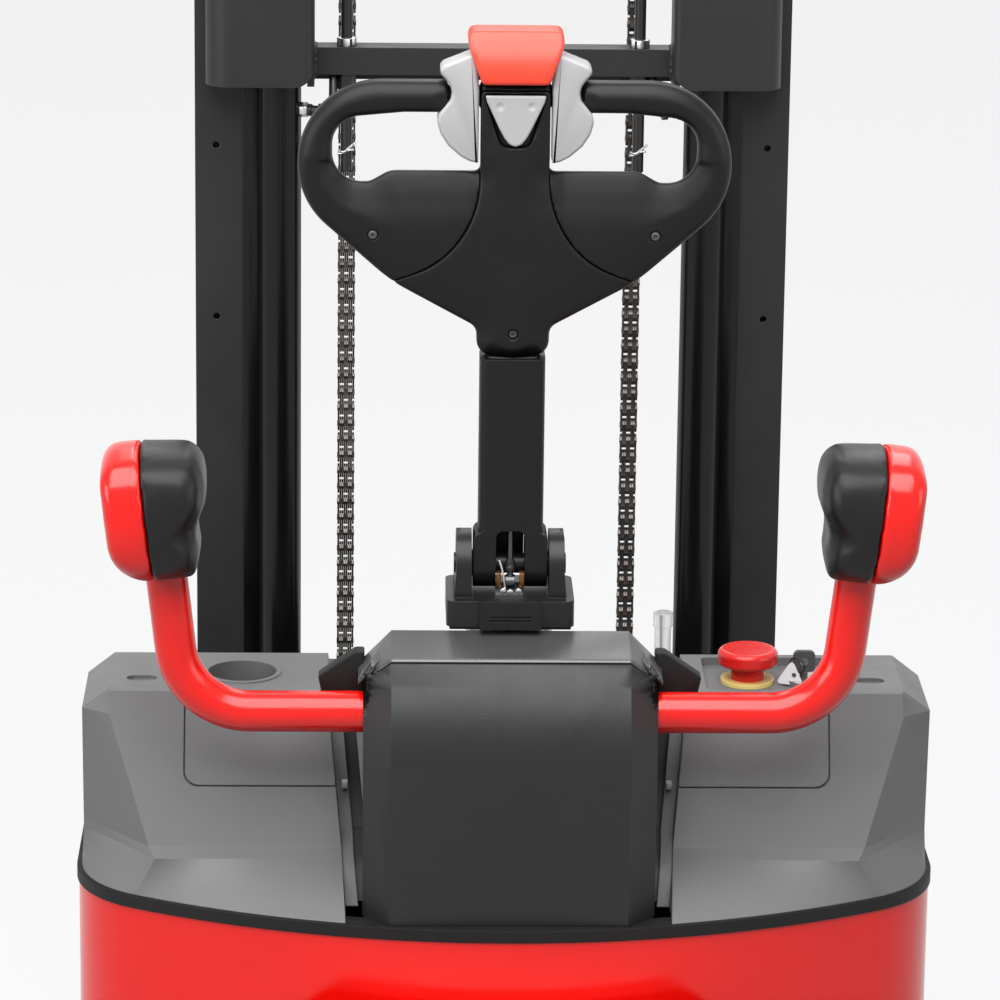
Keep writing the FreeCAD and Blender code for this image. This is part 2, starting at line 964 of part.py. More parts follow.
def centre_lid():
    """Thin lid on the roof: a bent plate with rounded edges on a smaller step, so a dark joint shows."""
    rear = centre_rear_y
    front = centre_tall_front + centre_lid_over
    half = centre_half + centre_lid_over
    top = centre_lid_step + centre_lid_thick
    under = roof_line(half, centre_lid_step)
    plate = slab(sharp(under + roof_line(half, top)[::-1]), across(rear), y_axis * (front - rear))
    top_edges = [
        edge
        for edge in rim_edges(plate, rear, front)
        if edge.CenterOfMass.z > roof_z(edge.CenterOfMass.x) + top - tiny
    ]
    plate = plate.makeFillet(centre_lid_round, top_edges)
    step_half = centre_half - centre_lid_over
    step_points = roof_line(step_half, 0) + roof_line(step_half, centre_lid_step)[::-1]
    step_rear = rear + centre_lid_over
    step_depth = centre_tall_front - centre_lid_over - step_rear
    step = slab(sharp(step_points), across(step_rear), y_axis * step_depth)
    lid = fuse([plate, step])
    for side in (-1, 1):
        lid = lid.cut(mirrored(rear_corner(centre_lid_over), side)).cut(mirrored(step_corner(), side))
    return lid


def rear_corner(over):
    """Wedge outside the vertical facet at the right rear corner of the lid."""
    reach = centre_half + over
    rear = centre_rear_y - overrun
    slope = (centre_facet_y - centre_rear_y) / (centre_half - centre_facet_x)
    points = [
        (centre_facet_x - overrun / slope, rear),
        (reach + overrun, rear),
        (reach + overrun, centre_facet_y + slope * (over + overrun)),
    ]
    return slab(sharp(points), plan(trim_top), z_axis * (base_top_z() - trim_top))


def step_corner():
    """The same wedge drawn in, for the step under the lid only."""
    corner = rear_corner(centre_lid_over)
    corner.translate(vec(-centre_lid_over, centre_lid_over, 0))
    profile = roof_line(centre_half, centre_lid_step) + [(-centre_half, trim_top), (centre_half, trim_top)]
    return corner.common(slab(sharp(profile), across(0), y_axis * centre_tall_front))


def lid_tab():
    """Ribbed rubber tab on the rear face of the tiller base, close above the lid."""
    low = base_top_z() - base_thick
    corners = [
        (-tab_half, low, 0),
        (tab_half, low, 0),
        (tab_half, low + tab_height, tab_round),
        (-tab_half, low + tab_height, tab_round),
    ]
    rear = steer_y - base_depth / 2 - tab_thick
    tab = slab(corners, across(rear), y_axis * tab_thick)
    for step in (0, 1):
        z = low + tab_groove_low + step * tab_groove_pitch
        groove = box(-tab_groove_half, tab_groove_half, rear - overrun, rear + tab_groove, z, z + tab_groove)
        tab = tab.cut(groove)
    return tab


def arm_bearing():
    """Foot plate on the counterweight with two split bearings for the arm tubes."""
    foot_low = trim_bottom
    reach = arm_radius + bearing_wall
    rear = bowed_y(bearing_outer_x, body_wall / 2) + running_gap
    plate = box(-bearing_outer_x, bearing_outer_x, rear, arm_y + reach, foot_low, foot_low + bearing_plate)
    pieces = [plate]
    for side in (-1, 1):
        inner = min(side * bearing_inner_x, side * bearing_outer_x)
        width = bearing_outer_x - bearing_inner_x
        post = box(inner, inner + width, arm_y - arm_radius, arm_y + arm_radius, foot_low, arm_z)
        pieces += [post, rod(reach, vec(inner, arm_y, arm_z), x_axis, width)]
    bore = rod(arm_radius + bearing_gap, vec(-body_width / 2, arm_y, arm_z), x_axis, body_width)
    return fuse(pieces).cut(bore)


def arm_bar(radius, extra):
    """Whole arm: level leg, bend and leaning upright leg; extra runs past both ends."""
    turn = math.pi / 2 - math.radians(arm_splay)
    centre = vec(arm_corner_x - arm_bend, arm_y, arm_z + arm_bend)
    enter = vec(centre.x, arm_y, arm_z)
    leave = centre + vec(math.sin(turn), 0, -math.cos(turn)) * arm_bend
    upward = vec(math.cos(turn), 0, math.sin(turn))
    climb = (pad_low + arm_into_pad - leave.z) / upward.z
    level = rod(radius, vec(arm_root_x - extra, arm_y, arm_z), x_axis, enter.x - arm_root_x + extra)
    disc = Part.Face(Part.Wire([Part.Circle(enter, x_axis, radius).toShape()]))
    bend = disc.revolve(centre, y_axis * -1, math.degrees(turn))
    return fuse([level, bend, rod(radius, leave, upward, climb + extra)]), leave


def on_arm(shape, leave):
    """Sets a pad piece, drawn upright about x zero, on the leaning leg."""
    shape.translate(vec(leave.x, 0, 0))
    shape.rotate(vec(leave.x, arm_y, leave.z), y_axis, arm_splay)
    return shape


def pad_shell_shape():
    """Red outer half of the pad: small round at the top, large sweep below."""
    high = pad_low + pad_height
    corners = [
        (seam_offset, pad_low, 0),
        (shell_offset, pad_low, shell_sweep),
        (shell_offset, high, shell_round),
        (seam_offset, high, 0),
    ]
    shell = slab(corners, across(arm_y - pad_depth / 2), y_axis * pad_depth)
    ends = rim_edges(shell, arm_y - pad_depth / 2, arm_y + pad_depth / 2)
    outer = [edge for edge in ends if edge.BoundBox.XMax > seam_offset + tiny]
    return shell.makeFillet(shell_edge, outer)


def cushion_outline(fullness):
    """One upright section of the cushion; a lower fullness draws it in all round."""
    draw = cushion_draw * (1 - fullness)
    low = pad_low + draw
    high = pad_low + pad_height - draw
    seam = seam_offset - pad_gap
    waist = cushion_waist * fullness
    return [
        (seam, low, 0),
        (seam, high, 0),
        (-cushion_offset * fullness, high - cushion_top_fall, cushion_top_round * fullness),
        (-cushion_offset * fullness, high - pad_height * cushion_full_share, pad_big_round),
        (-waist, high - pad_height * cushion_waist_share, pad_big_round / 2),
        (-cushion_flare * fullness, low + shell_round, shell_round / 2),
        (-waist, low, cushion_toe_round),
    ]


def pad_cushion_shape():
    """Black inner half: crowned towards the operator, waisted low down, drawn in at both sides."""
    sections = []
    for station, fullness in zip(cushion_station_shares, cushion_crown_shares):
        place = across(arm_y + station * pad_depth / 2)
        sections.append(rounded_wire(cushion_outline(fullness), place))
    return Part.makeLoft(sections, True, True)


def arm_pieces():
    """Right-hand arm tube with its shell, and the cushion, cut to seat on the tube."""
    bar, leave = arm_bar(arm_radius, 0)
    bore, leave = arm_bar(arm_radius - arm_wall, overrun)
    grown, leave = arm_bar(arm_radius + pad_gap, pad_gap)
    shell = on_arm(pad_shell_shape(), leave).cut(grown)
    cushion = on_arm(pad_cushion_shape(), leave).cut(grown)
    return Part.makeCompound([bar.cut(bore), shell]), cushion


def steer_ring():
    """Turntable ring that rides on the drive plate and carries motor and gearbox."""
    low = drive_plate_level + drive_plate + running_gap
    return rod(ring_radius, vec(0, steer_y, low), z_axis, ring_height)


def gearbox():
    """Gear leg beside the wheel: round at the axle, tapered up to the neck under the ring."""
    low_x = drive_wheel_width / 2 + wheel_side_gap
    neck_top = drive_plate_level + drive_plate + running_gap
    case = rod(gearbox_radius, vec(low_x, steer_y, drive_wheel_radius), x_axis, gearbox_width)
    leg = slab(
        sharp(
            [
                (steer_y - gearbox_radius, drive_wheel_radius),
                (steer_y + gearbox_radius, drive_wheel_radius),
                (steer_y + ring_radius * gearbox_neck_share, neck_top - ring_height),
                (steer_y - ring_radius * gearbox_neck_share, neck_top - ring_height),
            ]
        ),
        along(low_x),
        x_axis * gearbox_width,
    )
    disc_low = drive_wheel_radius * 2 + ring_height / 2
    neck_radius = ring_radius - drive_plate - running_gap
    neck = rod(neck_radius, vec(0, steer_y, disc_low), z_axis, neck_top - disc_low)
    shaft_end = vec(-drive_wheel_width / 2, steer_y, drive_wheel_radius)
    shaft = rod(hub_radius / 2, shaft_end, x_axis, drive_wheel_width)
    bridge = rod(hub_radius / 2, vec(0, steer_y, drive_wheel_radius), x_axis, low_x + gearbox_width / 2)
    return fuse([case, leg, neck, shaft, bridge])


def traction_motor():
    """Upright finned motor on the turntable."""
    low = drive_plate_level + drive_plate + running_gap + ring_height
    motor = rod(motor_radius, vec(0, steer_y, low), z_axis, motor_height)
    pitch = motor_height / (motor_fin_count + 1)
    for step in range(motor_fin_count):
        z = low + pitch * (step + 1) - motor_fin / 2
        root = motor_radius - motor_fin_depth
        groove = tube(motor_radius + overrun, root, vec(0, steer_y, z), z_axis, motor_fin)
        motor = motor.cut(groove)
    return motor


def motor_top():
    return drive_plate_level + drive_plate + running_gap + ring_height + motor_height


def base_top_z():
    return tiller_z - tiller_depth / 2 - base_gap


def steering_column():
    """Flanged column from the motor up through the centre cover."""
    low = motor_top()
    flange = rod(column_flange_radius, vec(0, steer_y, low), z_axis, floor_plate)
    column = rod(column_radius, vec(0, steer_y, low), z_axis, base_top_z() - base_thick - low)
    return fuse([flange, column])


def tiller_ear():
    """Right-hand ear of the base: round top, flaring outwards towards its foot."""
    low = base_top_z() - base_thick
    top = tiller_z + ear_radius
    inner = foot_half + ear_gap
    side_view = [
        (steer_y - ear_radius, low, 0),
        (steer_y + ear_radius, low, 0),
        (steer_y + ear_radius, top, ear_radius),
        (steer_y - ear_radius, top, ear_radius),
    ]
    rear_view = [
        (inner, low, 0),
        (inner + ear_thick + ear_flare, low, 0),
        (inner + ear_thick, tiller_z, ear_radius),
        (inner + ear_thick, top, ear_top_round),
        (inner, top, 0),
    ]
    ear = slab(side_view, along(0), x_axis * base_half)
    return ear.common(slab(rear_view, across(0), y_axis * body_width))


def tiller_base():
    """Base block with a cradle for the spring's eye and two ears for the tiller pin."""
    top = base_top_z()
    low = top - base_thick
    half_depth = base_depth / 2
    corners = sharp(
        [
            (-base_half, steer_y - half_depth),
            (base_half, steer_y - half_depth),
            (base_half, steer_y + half_depth),
            (-base_half, steer_y + half_depth),
        ],
        tiller_round,
    )
    block = slab(corners, plan(low), z_axis * base_thick)
    cradle = rod(cradle_radius, vec(-slot_half, steer_y, tiller_z), x_axis, slot_half * 2)
    bore = rod(pin_radius + bearing_gap, vec(-base_half, steer_y, tiller_z), x_axis, base_half * 2)
    ears = [mirrored(tiller_ear(), side) for side in (-1, 1)]
    return fuse([block.cut(cradle)] + ears).cut(bore)


def tiller_pin():
    """Pivot pin with a spacer on each side of the arm."""
    pin_end = foot_half + ear_gap + ear_thick + ear_flare / 2
    pin = rod(pin_radius, vec(-pin_end, steer_y, tiller_z), x_axis, pin_end * 2)
    spacers = [
        rod(spacer_radius, vec(start, steer_y, tiller_z), x_axis, ear_gap - running_gap)
        for start in (-foot_half - ear_gap, foot_half + running_gap)
    ]
    return fuse([pin] + spacers)


def tiller_arm():
    """Box-section arm on a wider forked foot that straddles the gas spring; hollow inside."""
    half = tiller_depth / 2
    low = tiller_z - half

    def bar(half_width, high):
        profile = [
            (steer_y - half, low, half),
            (steer_y + half, low, half),
            (steer_y + half, high, 0),
            (steer_y - half, high, 0),
        ]
        return slab(profile, along(-half_width), x_axis * half_width * 2)

    arm = bar(tiller_half, head_low)
    upright = [
        edge
        for edge in arm.Edges
        if edge.BoundBox.ZLength > head_low - tiller_z - half and edge.BoundBox.YLength < tiny
    ]
    arm = arm.makeFillet(tiller_round, upright)
    foot_outline = [
        (foot_half, low, 0),
        (foot_half, foot_top, foot_taper),
        (tiller_half - tiller_round, foot_top + foot_taper, 0),
    ]
    wide = slab(both_halves(foot_outline), across(0), y_axis * body_width)
    foot = bar(foot_half, foot_top + foot_taper).common(wide)
    inner_half = tiller_half - tiller_wall
    inner_depth_half = half - tiller_wall
    hollow = box(
        -inner_half,
        inner_half,
        steer_y - inner_depth_half,
        steer_y + inner_depth_half,
        slot_top - slot_half / 2,
        head_low + overrun,
    )
    slot = slab(
        [
            (-slot_half, low - overrun, 0),
            (slot_half, low - overrun, 0),
            (slot_half, slot_top, slot_half / 2),
            (-slot_half, slot_top, slot_half / 2),
        ],
        across(steer_y - tiller_depth),
        y_axis * tiller_depth * 2,
    )
    bore = rod(pin_radius + bearing_gap, vec(-base_half, steer_y, tiller_z), x_axis, base_half * 2)
    return fuse([arm, foot]).cut(hollow).cut(slot).cut(bore)


def gas_spring():
    """Gas spring that leans inside the arm: eye, rod, body and the cross pin of its upper end."""
    eye_place = vec(0, spring_eye_y, spring_eye_z)
    top_place = vec(0, steer_y, spring_top)
    axis = top_place - eye_place
    length = axis.Length
    axis.normalize()
    neck = length * spring_neck_share
    eye = rod(spring_eye_radius, eye_place - x_axis * (spring_radius / 2), x_axis, spring_radius)
    stem = rod(spring_rod_radius, eye_place, axis, neck)
    body = rod(spring_radius, eye_place + axis * neck, axis, length - neck)
    inner_half = tiller_half - tiller_wall
    pin_end = vec(-inner_half, steer_y, spring_top - spring_radius)
    pin = rod(spring_rod_radius, pin_end, x_axis, inner_half * 2)
    return fuse([eye, stem, body, pin])


def both_halves(corners):
    """Closed outline from its right half, listed from the bottom up."""
    return corners + [(-u, v, radius) for u, v, radius in reversed(corners)]


def grip_z():
    return (hole_high + head_top) / 2


def core_outline(grow):
    """Outline of the core panel: neck and concave seams; below them it runs past the head's outline."""
    half = [
        (core_flare_x + grow, head_low + running_gap - grow, 0),
        (core_flare_x + grow, core_flare_z + grow, 0),
        (core_half + grow, core_waist_z + grow, core_seam_radius),
        (core_half + grow, core_top + grow, core_top_round),
    ]
    return both_halves(half)


def head_front():
    return steer_y - head_thick / 2


def rim_edges(shape, *levels):
    """Edges that lie wholly in one of the given y planes."""
    return [
        edge
        for edge in shape.Edges
        if edge.BoundBox.YLength < tiny and any(abs(edge.BoundBox.YMin - level) < tiny for level in levels)
    ]


def head_outline():
    """Outline of the whole head: neck, rising wings and round shoulders."""
    right = [
        (head_neck_half, head_low, head_edge_round + core_proud),
        (head_neck_half, head_neck_top, neck_corner),
        (head_elbow_x, head_elbow_z, head_elbow_round),
        (head_half, head_wing_z, head_wing_corner),
        (head_half, head_top, head_corner),
    ]
    return both_halves(right)


def finger_hole(side):
    """Hole under the grip: round outer end with a thumb scoop in its lower corner."""
    corners = [
        (side * hole_inner_x, hole_low, hole_inner_corner),
        (side * scoop_start_x, hole_low, scoop_round),
        (side * scoop_end_x, scoop_z, scoop_round / 2),
        (side * hole_outer_x, scoop_z, hole_end_round),
        (side * hole_outer_x, hole_shoulder_z, hole_end_round),
        (side * hole_taper_x, hole_high, hole_end_round),
        (side * hole_inner_x, hole_high, hole_inner_corner),
    ]
    return slab(corners, across(head_front() - overrun), y_axis * (head_thick + 2 * overrun))


def screw_recess(x, z):
    start = vec(x, head_front() - overrun, z)
    return rod(screw_recess_radius, start, y_axis, overrun + screw_recess_depth)


def grip_shaft(side):
    """Shaft between the neck and the end of a grip, which carries the thumb switch."""
    inner = hole_inner_x - core_proud
    outer = grip_end_x + core_proud
    start = vec(min(side * inner, side * outer), steer_y, grip_z())
    return rod(grip_shaft_radius, start, x_axis, outer - inner)


def head_loop():
    """Moulded loop: rounded grips and wings round two finger holes, cut away for the core panel."""
    loop = slab(head_outline(), across(head_front()), y_axis * head_thick)
    for side in (-1, 1):
        loop = loop.cut(finger_hole(side))
    rims = rim_edges(loop, head_front(), head_front() + head_thick)
    loop = loop.makeFillet(head_edge_round, rims)
    for side in (-1, 1):
        gap = box(
            hole_inner_x,
            grip_end_x,
            head_front() - overrun,
            head_front() + head_thick + overrun,
            hole_high - overrun,
            head_top + overrun,
        )
        recess = screw_recess(side * head_screw_x, head_screw_z)
        loop = loop.cut(mirrored(gap, side)).fuse(grip_shaft(side)).cut(recess)
    pocket = slab(core_outline(running_gap), across(head_front() - overrun), y_axis * (core_depth + overrun))
    stem_y = steer_y + button_stem_shift
    stem_hole = box(
        -button_stem_half - running_gap,
        button_stem_half + running_gap,
        stem_y - button_stem_depth / 2 - running_gap,
        stem_y + button_stem_depth / 2 + running_gap,
        head_top - button_stem_length,
        head_top + overrun,
    )
    spigot_half = tiller_half - tiller_wall - running_gap
    spigot_depth = tiller_depth / 2 - tiller_wall - running_gap
    spigot = box(
        -spigot_half,
        spigot_half,
        steer_y - spigot_depth,
        steer_y + spigot_depth,
        head_low - spigot_length,
        head_low + head_edge_round,
    )
    spigot = spigot.cut(box(-base_half, base_half, 0, head_front() + core_depth, head_low, head_top))
    return loop.cut(pocket).cut(stem_hole).fuse(spigot).removeSplitter()


def shield_outline(grow):
    half = [
        (shield_point_half + grow / 2, shield_point - grow, shield_point_round),
        (shield_half + grow, shield_top + grow, shield_top_round),
    ]
    return both_halves(half)


def head_core():
    """Core panel: flat neck with a pocket for the shield button, below it a pillow up to the outline."""
    front = head_front() - core_proud
    panel = slab(core_outline(0), across(front), y_axis * (core_depth + core_proud))
    panel = panel.makeFillet(core_proud, rim_edges(panel, front))
    pillow = slab(head_outline(), across(front), y_axis * (head_thick + core_proud))
    pillow = pillow.makeFillet(head_edge_round, rim_edges(pillow, front))
    depth = shield_thick - shield_proud + shield_travel + shield_gap
    pocket = slab(shield_outline(shield_gap), across(front - overrun), y_axis * (depth + overrun))
    return panel.common(pillow).cut(pocket).cut(screw_recess(0, neck_screw_z))


def shield_button():
    """Shield-shaped push button in the core panel."""
    front = head_front() - core_proud - shield_proud
    button = slab(shield_outline(0), across(front), y_axis * shield_thick)
    return button.makeFillet(shield_proud / 2, rim_edges(button, front))


def end_button():
    """Red button across the end of the head: wider at its top, with a skirt down the rear, on a stem."""
    corners = [
        (button_low_half, button_low, button_round / 2),
        (button_top_half, button_shoulder, button_round * 2),
        (button_top_half, button_top, button_round),
    ]
    front = steer_y - button_depth / 2
    button = slab(both_halves(corners), across(front), y_axis * button_depth)
    button = button.makeFillet(button_round / 2, rim_edges(button, front, front + button_depth))
    low = head_top + button_travel + running_gap
    behind_skirt = box(
        -button_top_half,
        button_top_half,
        head_front() - core_proud - 2 * running_gap,
        steer_y + button_depth,
        button_low - overrun,
        low,
    )
    stem_y = steer_y + button_stem_shift
    stem = box(
        -button_stem_half,
        button_stem_half,
        stem_y - button_stem_depth / 2,
        stem_y + button_stem_depth / 2,
        head_top - button_stem_length + button_travel + running_gap,
        low + button_round,
    )
    return fuse([button.cut(behind_skirt), stem])


def thumb_switch():
    """Butterfly rocker that turns on the grip shaft: two rounded lobes and a notch round the grip."""
    axis = grip_z()
    corners = [
        (switch_inner_x, switch_bottom, switch_edge),
        (switch_heel_x, switch_heel_z, switch_heel_round),
        (switch_lobe_x, axis - switch_waist, switch_lobe_round),
        (switch_waist_x, axis - switch_waist, switch_notch_round),
        (switch_waist_x, axis + switch_waist, switch_notch_round),
        (switch_lobe_x, axis + switch_waist, switch_notch_round),
        (switch_tip_x, switch_tip_z, switch_lobe_round),
        (switch_crest_x, switch_top, switch_edge),
        (switch_inner_x, switch_knee_z, switch_lobe_round),
    ]
    front = steer_y - switch_thick / 2
    switch = slab(corners, across(front), y_axis * switch_thick)
    switch = switch.makeFillet(switch_rim, rim_edges(switch, front, front + switch_thick))
    bore = rod(grip_shaft_radius + bearing_gap, vec(0, steer_y, axis), x_axis, head_half)
    return switch.cut(bore)


def drive_wheel():
    """Drive wheel: hub and bonded tyre with rounded shoulders, turned from one profile."""
    half = drive_wheel_width / 2
    corners = [
        (hub_radius / 2 + bearing_gap, -half, 0),
        (drive_wheel_radius, -half, drive_shoulder),
        (drive_wheel_radius, half, drive_shoulder),
        (hub_radius / 2 + bearing_gap, half, 0),
    ]
    return turned(corners, vec(0, steer_y, drive_wheel_radius))


def turned(corners, centre):
    """Revolves an outline of (radius, x) corners about an axle along x."""
    place = lambda u, v: vec(v, 0, u)
    shape = Part.Face(rounded_wire(corners, place)).revolve(vec(0, 0, 0), x_axis, 360)
    shape.translate(centre)
    return shape


def load_wheel(side):
    """Front wheel: dished hub, tyre with rounded shoulders, closed outer cap."""
    half = load_wheel_width / 2
    rim = load_wheel_radius - load_tyre
    corners = [
        (axle_radius + bearing_gap, -half, 0),
        (hub_radius, -half, 0),
        (hub_radius + load_dish, -half + load_dish, 0),
        (rim - load_dish / 2, -half + load_dish, 0),
        (rim, -half, 0),
        (load_wheel_radius, -half, load_shoulder),
        (load_wheel_radius, half, load_shoulder),
        (rim, half, 0),
        (rim - load_dish / 2, half - load_dish, 0),
        (hub_radius + load_dish, half - load_dish, 0),
        (hub_radius, half, 0),
        (axle_radius + bearing_gap, half, 0),
    ]
    return turned(corners, vec(side * load_wheel_x, load_wheel_y, load_wheel_radius))


def castor_yoke(side):
    """Swivel head with a stem, two tapered cheeks and the axle, trailing behind its pivot."""
    top = castor_pocket_top - running_gap
    low = top - castor_disc
    x = side * castor_x
    pieces = [
        rod(castor_disc_radius, vec(x, castor_y, low), z_axis, castor_disc),
        rod(castor_stem_radius, vec(x, castor_y, top), z_axis, castor_stem_height),
    ]
    axle_y = castor_y - castor_trail
    inner = castor_width / 2 + castor_fork_gap
    for sign in (-1, 1):
        start = x + min(sign * inner, sign * (inner + castor_fork))
        cheek = slab(
            [
                (castor_y - castor_cheek_half, low + castor_disc / 2, 0),
                (castor_y + castor_cheek_half, low + castor_disc / 2, 0),
                (axle_y + castor_toe, castor_radius - castor_toe, castor_toe / 2),
                (axle_y - castor_toe, castor_radius - castor_toe, castor_toe / 2),
            ],
            along(start),
            x_axis * castor_fork,
        )
        pieces.append(cheek)
    reach = inner + castor_fork
    pieces.append(rod(castor_pin_radius, vec(x - reach, axle_y, castor_radius), x_axis, reach * 2))
    return fuse(pieces)


def castor_wheel(side):
    half = castor_width / 2
    corners = [
        (castor_pin_radius + bearing_gap, -half, 0),
        (castor_radius, -half, castor_shoulder),
        (castor_radius, half, castor_shoulder),
        (castor_pin_radius + bearing_gap, half, 0),
    ]
    return turned(corners, vec(side * castor_x, castor_y - castor_trail, castor_radius))


def chassis_frame():
    """Welded frame: drive plate, floor, rails, front plate, mast cheeks, axle beam and stub axles."""
    cheek_inner = mast_half - mast_flange + mast_wall
    cheek_outer = mast_half - running_gap
    level = drive_plate_level
    bay_half = cover_inner_top
    drive = drive_bay(wheel_bay_wall, level + drive_plate)
    drive = drive.common(box(-bay_half, bay_half, 0, drive_bay_front, level, level + drive_plate))
    below = vec(0, steer_y, level - overrun)
    opening = rod(ring_radius - drive_plate, below, z_axis, drive_plate + overrun * 2)
    drive = drive.cut(opening)
    floor = box(-rail_x, rail_x, drive_bay_front, bay_front, floor_level, floor_level + floor_plate)
    rear_front = drive_bay_front + floor_plate
    rear = box(-rail_x, rail_x, drive_bay_front, rear_front, floor_level, level + drive_plate)
    front = box(-rail_x, rail_x, bay_front, bay_front + front_plate, floor_level, front_plate_top)
    pieces = [drive, floor, rear, front] + lid_hinge_posts()
    beam_low = load_wheel_radius - axle_beam_height / 2
    beam_front = bay_front + axle_beam_depth
    beam_top = beam_low + axle_beam_height
    pieces.append(box(-cheek_outer, cheek_outer, bay_front, beam_front, beam_low, beam_top))
    for side in (-1, 1):
        rail_front = bay_front + front_plate
        rail_top = panel_bottom + rail_height
        rail = box(rail_x, rail_x + rail_width, drive_bay_front, rail_front, panel_bottom, rail_top)
        cheek = slab(
            [
                (bay_front, beam_low, 0),
                (mast_y, beam_low, 0),
                (mast_y, front_plate_top - axle_beam_height, 0),
                (bay_front, front_plate_top, 0),
            ],
            along(cheek_inner),
            x_axis * (cheek_outer - cheek_inner),
        )
        axle_length = load_wheel_x + load_wheel_width / 2 + axle_cap - cheek_inner
        axle = rod(axle_radius, vec(cheek_inner, load_wheel_y, load_wheel_radius), x_axis, axle_length)
        inner_collar = rod(
            hub_radius,
            vec(cheek_outer, load_wheel_y, load_wheel_radius),
            x_axis,
            load_wheel_x - load_wheel_width / 2 - cheek_outer - running_gap,
        )
        for piece in (rail, cheek, axle, inner_collar):
            pieces.append(mirrored(piece, side))
    return fuse(pieces)


def bay_panels():
    """Red side panels of the battery bay: flanged at top and bottom, standing on the rails."""
    panels = []
    outer = body_width / 2
    inner = rail_x + rail_width
    rear = drive_bay_front + lid_gap
    for side in (-1, 1):
        face = box(outer - panel_wall, outer, rear, bay_front, panel_bottom, bay_top)
        foot = box(inner, outer, rear, bay_front, panel_bottom, panel_bottom + panel_wall)
        top = box(inner, outer, rear, bay_front, bay_top - panel_wall, bay_top)
        panels.append(mirrored(fuse([face, foot, top]), side))
    return Part.makeCompound(panels)


def battery():
    """Traction battery tray with a row of raised cell lids and two terminals."""
    low = floor_level + floor_plate
    half = rail_x - battery_side_gap
    rear = drive_bay_front + floor_plate + battery_side_gap
    front = bay_front - battery_side_gap
    corners = sharp([(-half, rear), (half, rear), (half, front), (-half, front)], battery_terminal_radius)
    pieces = [slab(corners, plan(low), z_axis * battery_height)]
    top = low + battery_height
    column = half * 2 / cell_columns
    row = (front - rear) / cell_rows
    for step in range(cell_rows * cell_columns):
        x = step % cell_columns * column - half + cell_gap
        y = rear + step // cell_columns * row + cell_gap
        cell = box(x, x + column - 2 * cell_gap, y, y + row - 2 * cell_gap, top, top + cell_lid_height)
        pieces.append(cell)
    for side in (-1, 1):
        place = vec(side * half / 2, (rear + front) / 2, top)
        pieces.append(rod(battery_terminal_radius, place, z_axis, battery_terminal_height))
    return fuse(pieces)


def lid_hinge():
    """Depth and height of the lid's hinge axis, just ahead of the bay."""
    return bay_front + lid_hinge_offset, bay_top + lid_height / 2


def lid_hinge_posts():
    """Two posts and a pin for each knuckle of the battery lid, standing on the front plate."""
    hinge_y, hinge_z = lid_hinge()
    posts = []
    reach = lid_knuckle_half + running_gap
    for side in (-1, 1):
        x = side * lid_hinge_x
        for start in (x - reach - lid_post, x + reach):
            foot = box(
                start,
                start + lid_post,
                hinge_y - lid_knuckle_radius,
                bay_front + front_plate,
                front_plate_top - lid_post,
                hinge_z,
            )
            posts += [foot, rod(lid_knuckle_radius, vec(start, hinge_y, hinge_z), x_axis, lid_post)]
        pin_reach = reach + lid_post
        posts.append(rod(lid_hinge_pin, vec(x - pin_reach, hinge_y, hinge_z), x_axis, pin_reach * 2))
    return posts


def battery_lid():
    """Lid of the battery bay: shallow tray with rounded corners, a finger pull and two hinge knuckles."""
    outer = body_width / 2
    rear = drive_bay_front + lid_gap
    corners = [
        (-outer, rear, 0),
        (outer, rear, 0),
        (outer, bay_front, body_wall / 2),
        (-outer, bay_front, body_wall / 2),
    ]
    lid = slab(corners, plan(bay_top), z_axis * lid_height)
    hollow = box(
        panel_wall - outer,
        outer - panel_wall,
        rear + panel_wall,
        bay_front - panel_wall,
        bay_top - overrun,
        bay_top + lid_height - panel_wall,
    )
    pull = box(
        -lid_pull_width / 2,
        lid_pull_width / 2,
        rear - overrun,
        rear + panel_wall + overrun,
        bay_top - overrun,
        bay_top + lid_height / 2,
    )
    lid = lid.cut(hollow).cut(pull)
    hinge_y, hinge_z = lid_hinge()
    for side in (-1, 1):
        start = side * lid_hinge_x - lid_knuckle_half
        length = lid_knuckle_half * 2
        knuckle = rod(lid_knuckle_radius, vec(start, hinge_y, hinge_z), x_axis, length)
        leaf = box(
            start,
            start + length,
            bay_front - panel_wall,
            hinge_y,
            hinge_z - lid_hinge_pin,
            hinge_z + lid_hinge_pin,
        )
        lid = lid.fuse(knuckle).fuse(leaf)
    bore = rod(lid_hinge_pin + bearing_gap, vec(-outer, hinge_y, hinge_z), x_axis, outer * 2)
    return lid.cut(bore).removeSplitter()


def pump_unit():
    """Pump motor on its block in the right-hand well."""
    block = box(
        pump_x - pump_block,
        pump_x + pump_block,
        pump_y - pump_block + well_gap,
        pump_y + pump_block - well_gap,
        well_floor,
        well_floor + pump_block,
    )
    motor = rod(pump_radius, vec(pump_x, pump_y, well_floor + pump_block), z_axis, pump_height)
    return fuse([block, motor])


def controller():
    """Finned motor controller in the left-hand well."""
    half = pump_block
    top = well_floor + control_height
    rear = pump_y - half + well_gap
    body = box(-pump_x - half, -pump_x + half, rear, pump_y, well_floor, top)
    pieces = [body]
    pitch = half * 2 / control_rib_count
    for step in range(control_rib_count):
        x = -pump_x - half + pitch * step + (pitch - control_rib) / 2
        pieces.append(box(x, x + control_rib, pump_y, pump_y + half - well_gap, well_floor, top))
    return fuse(pieces)


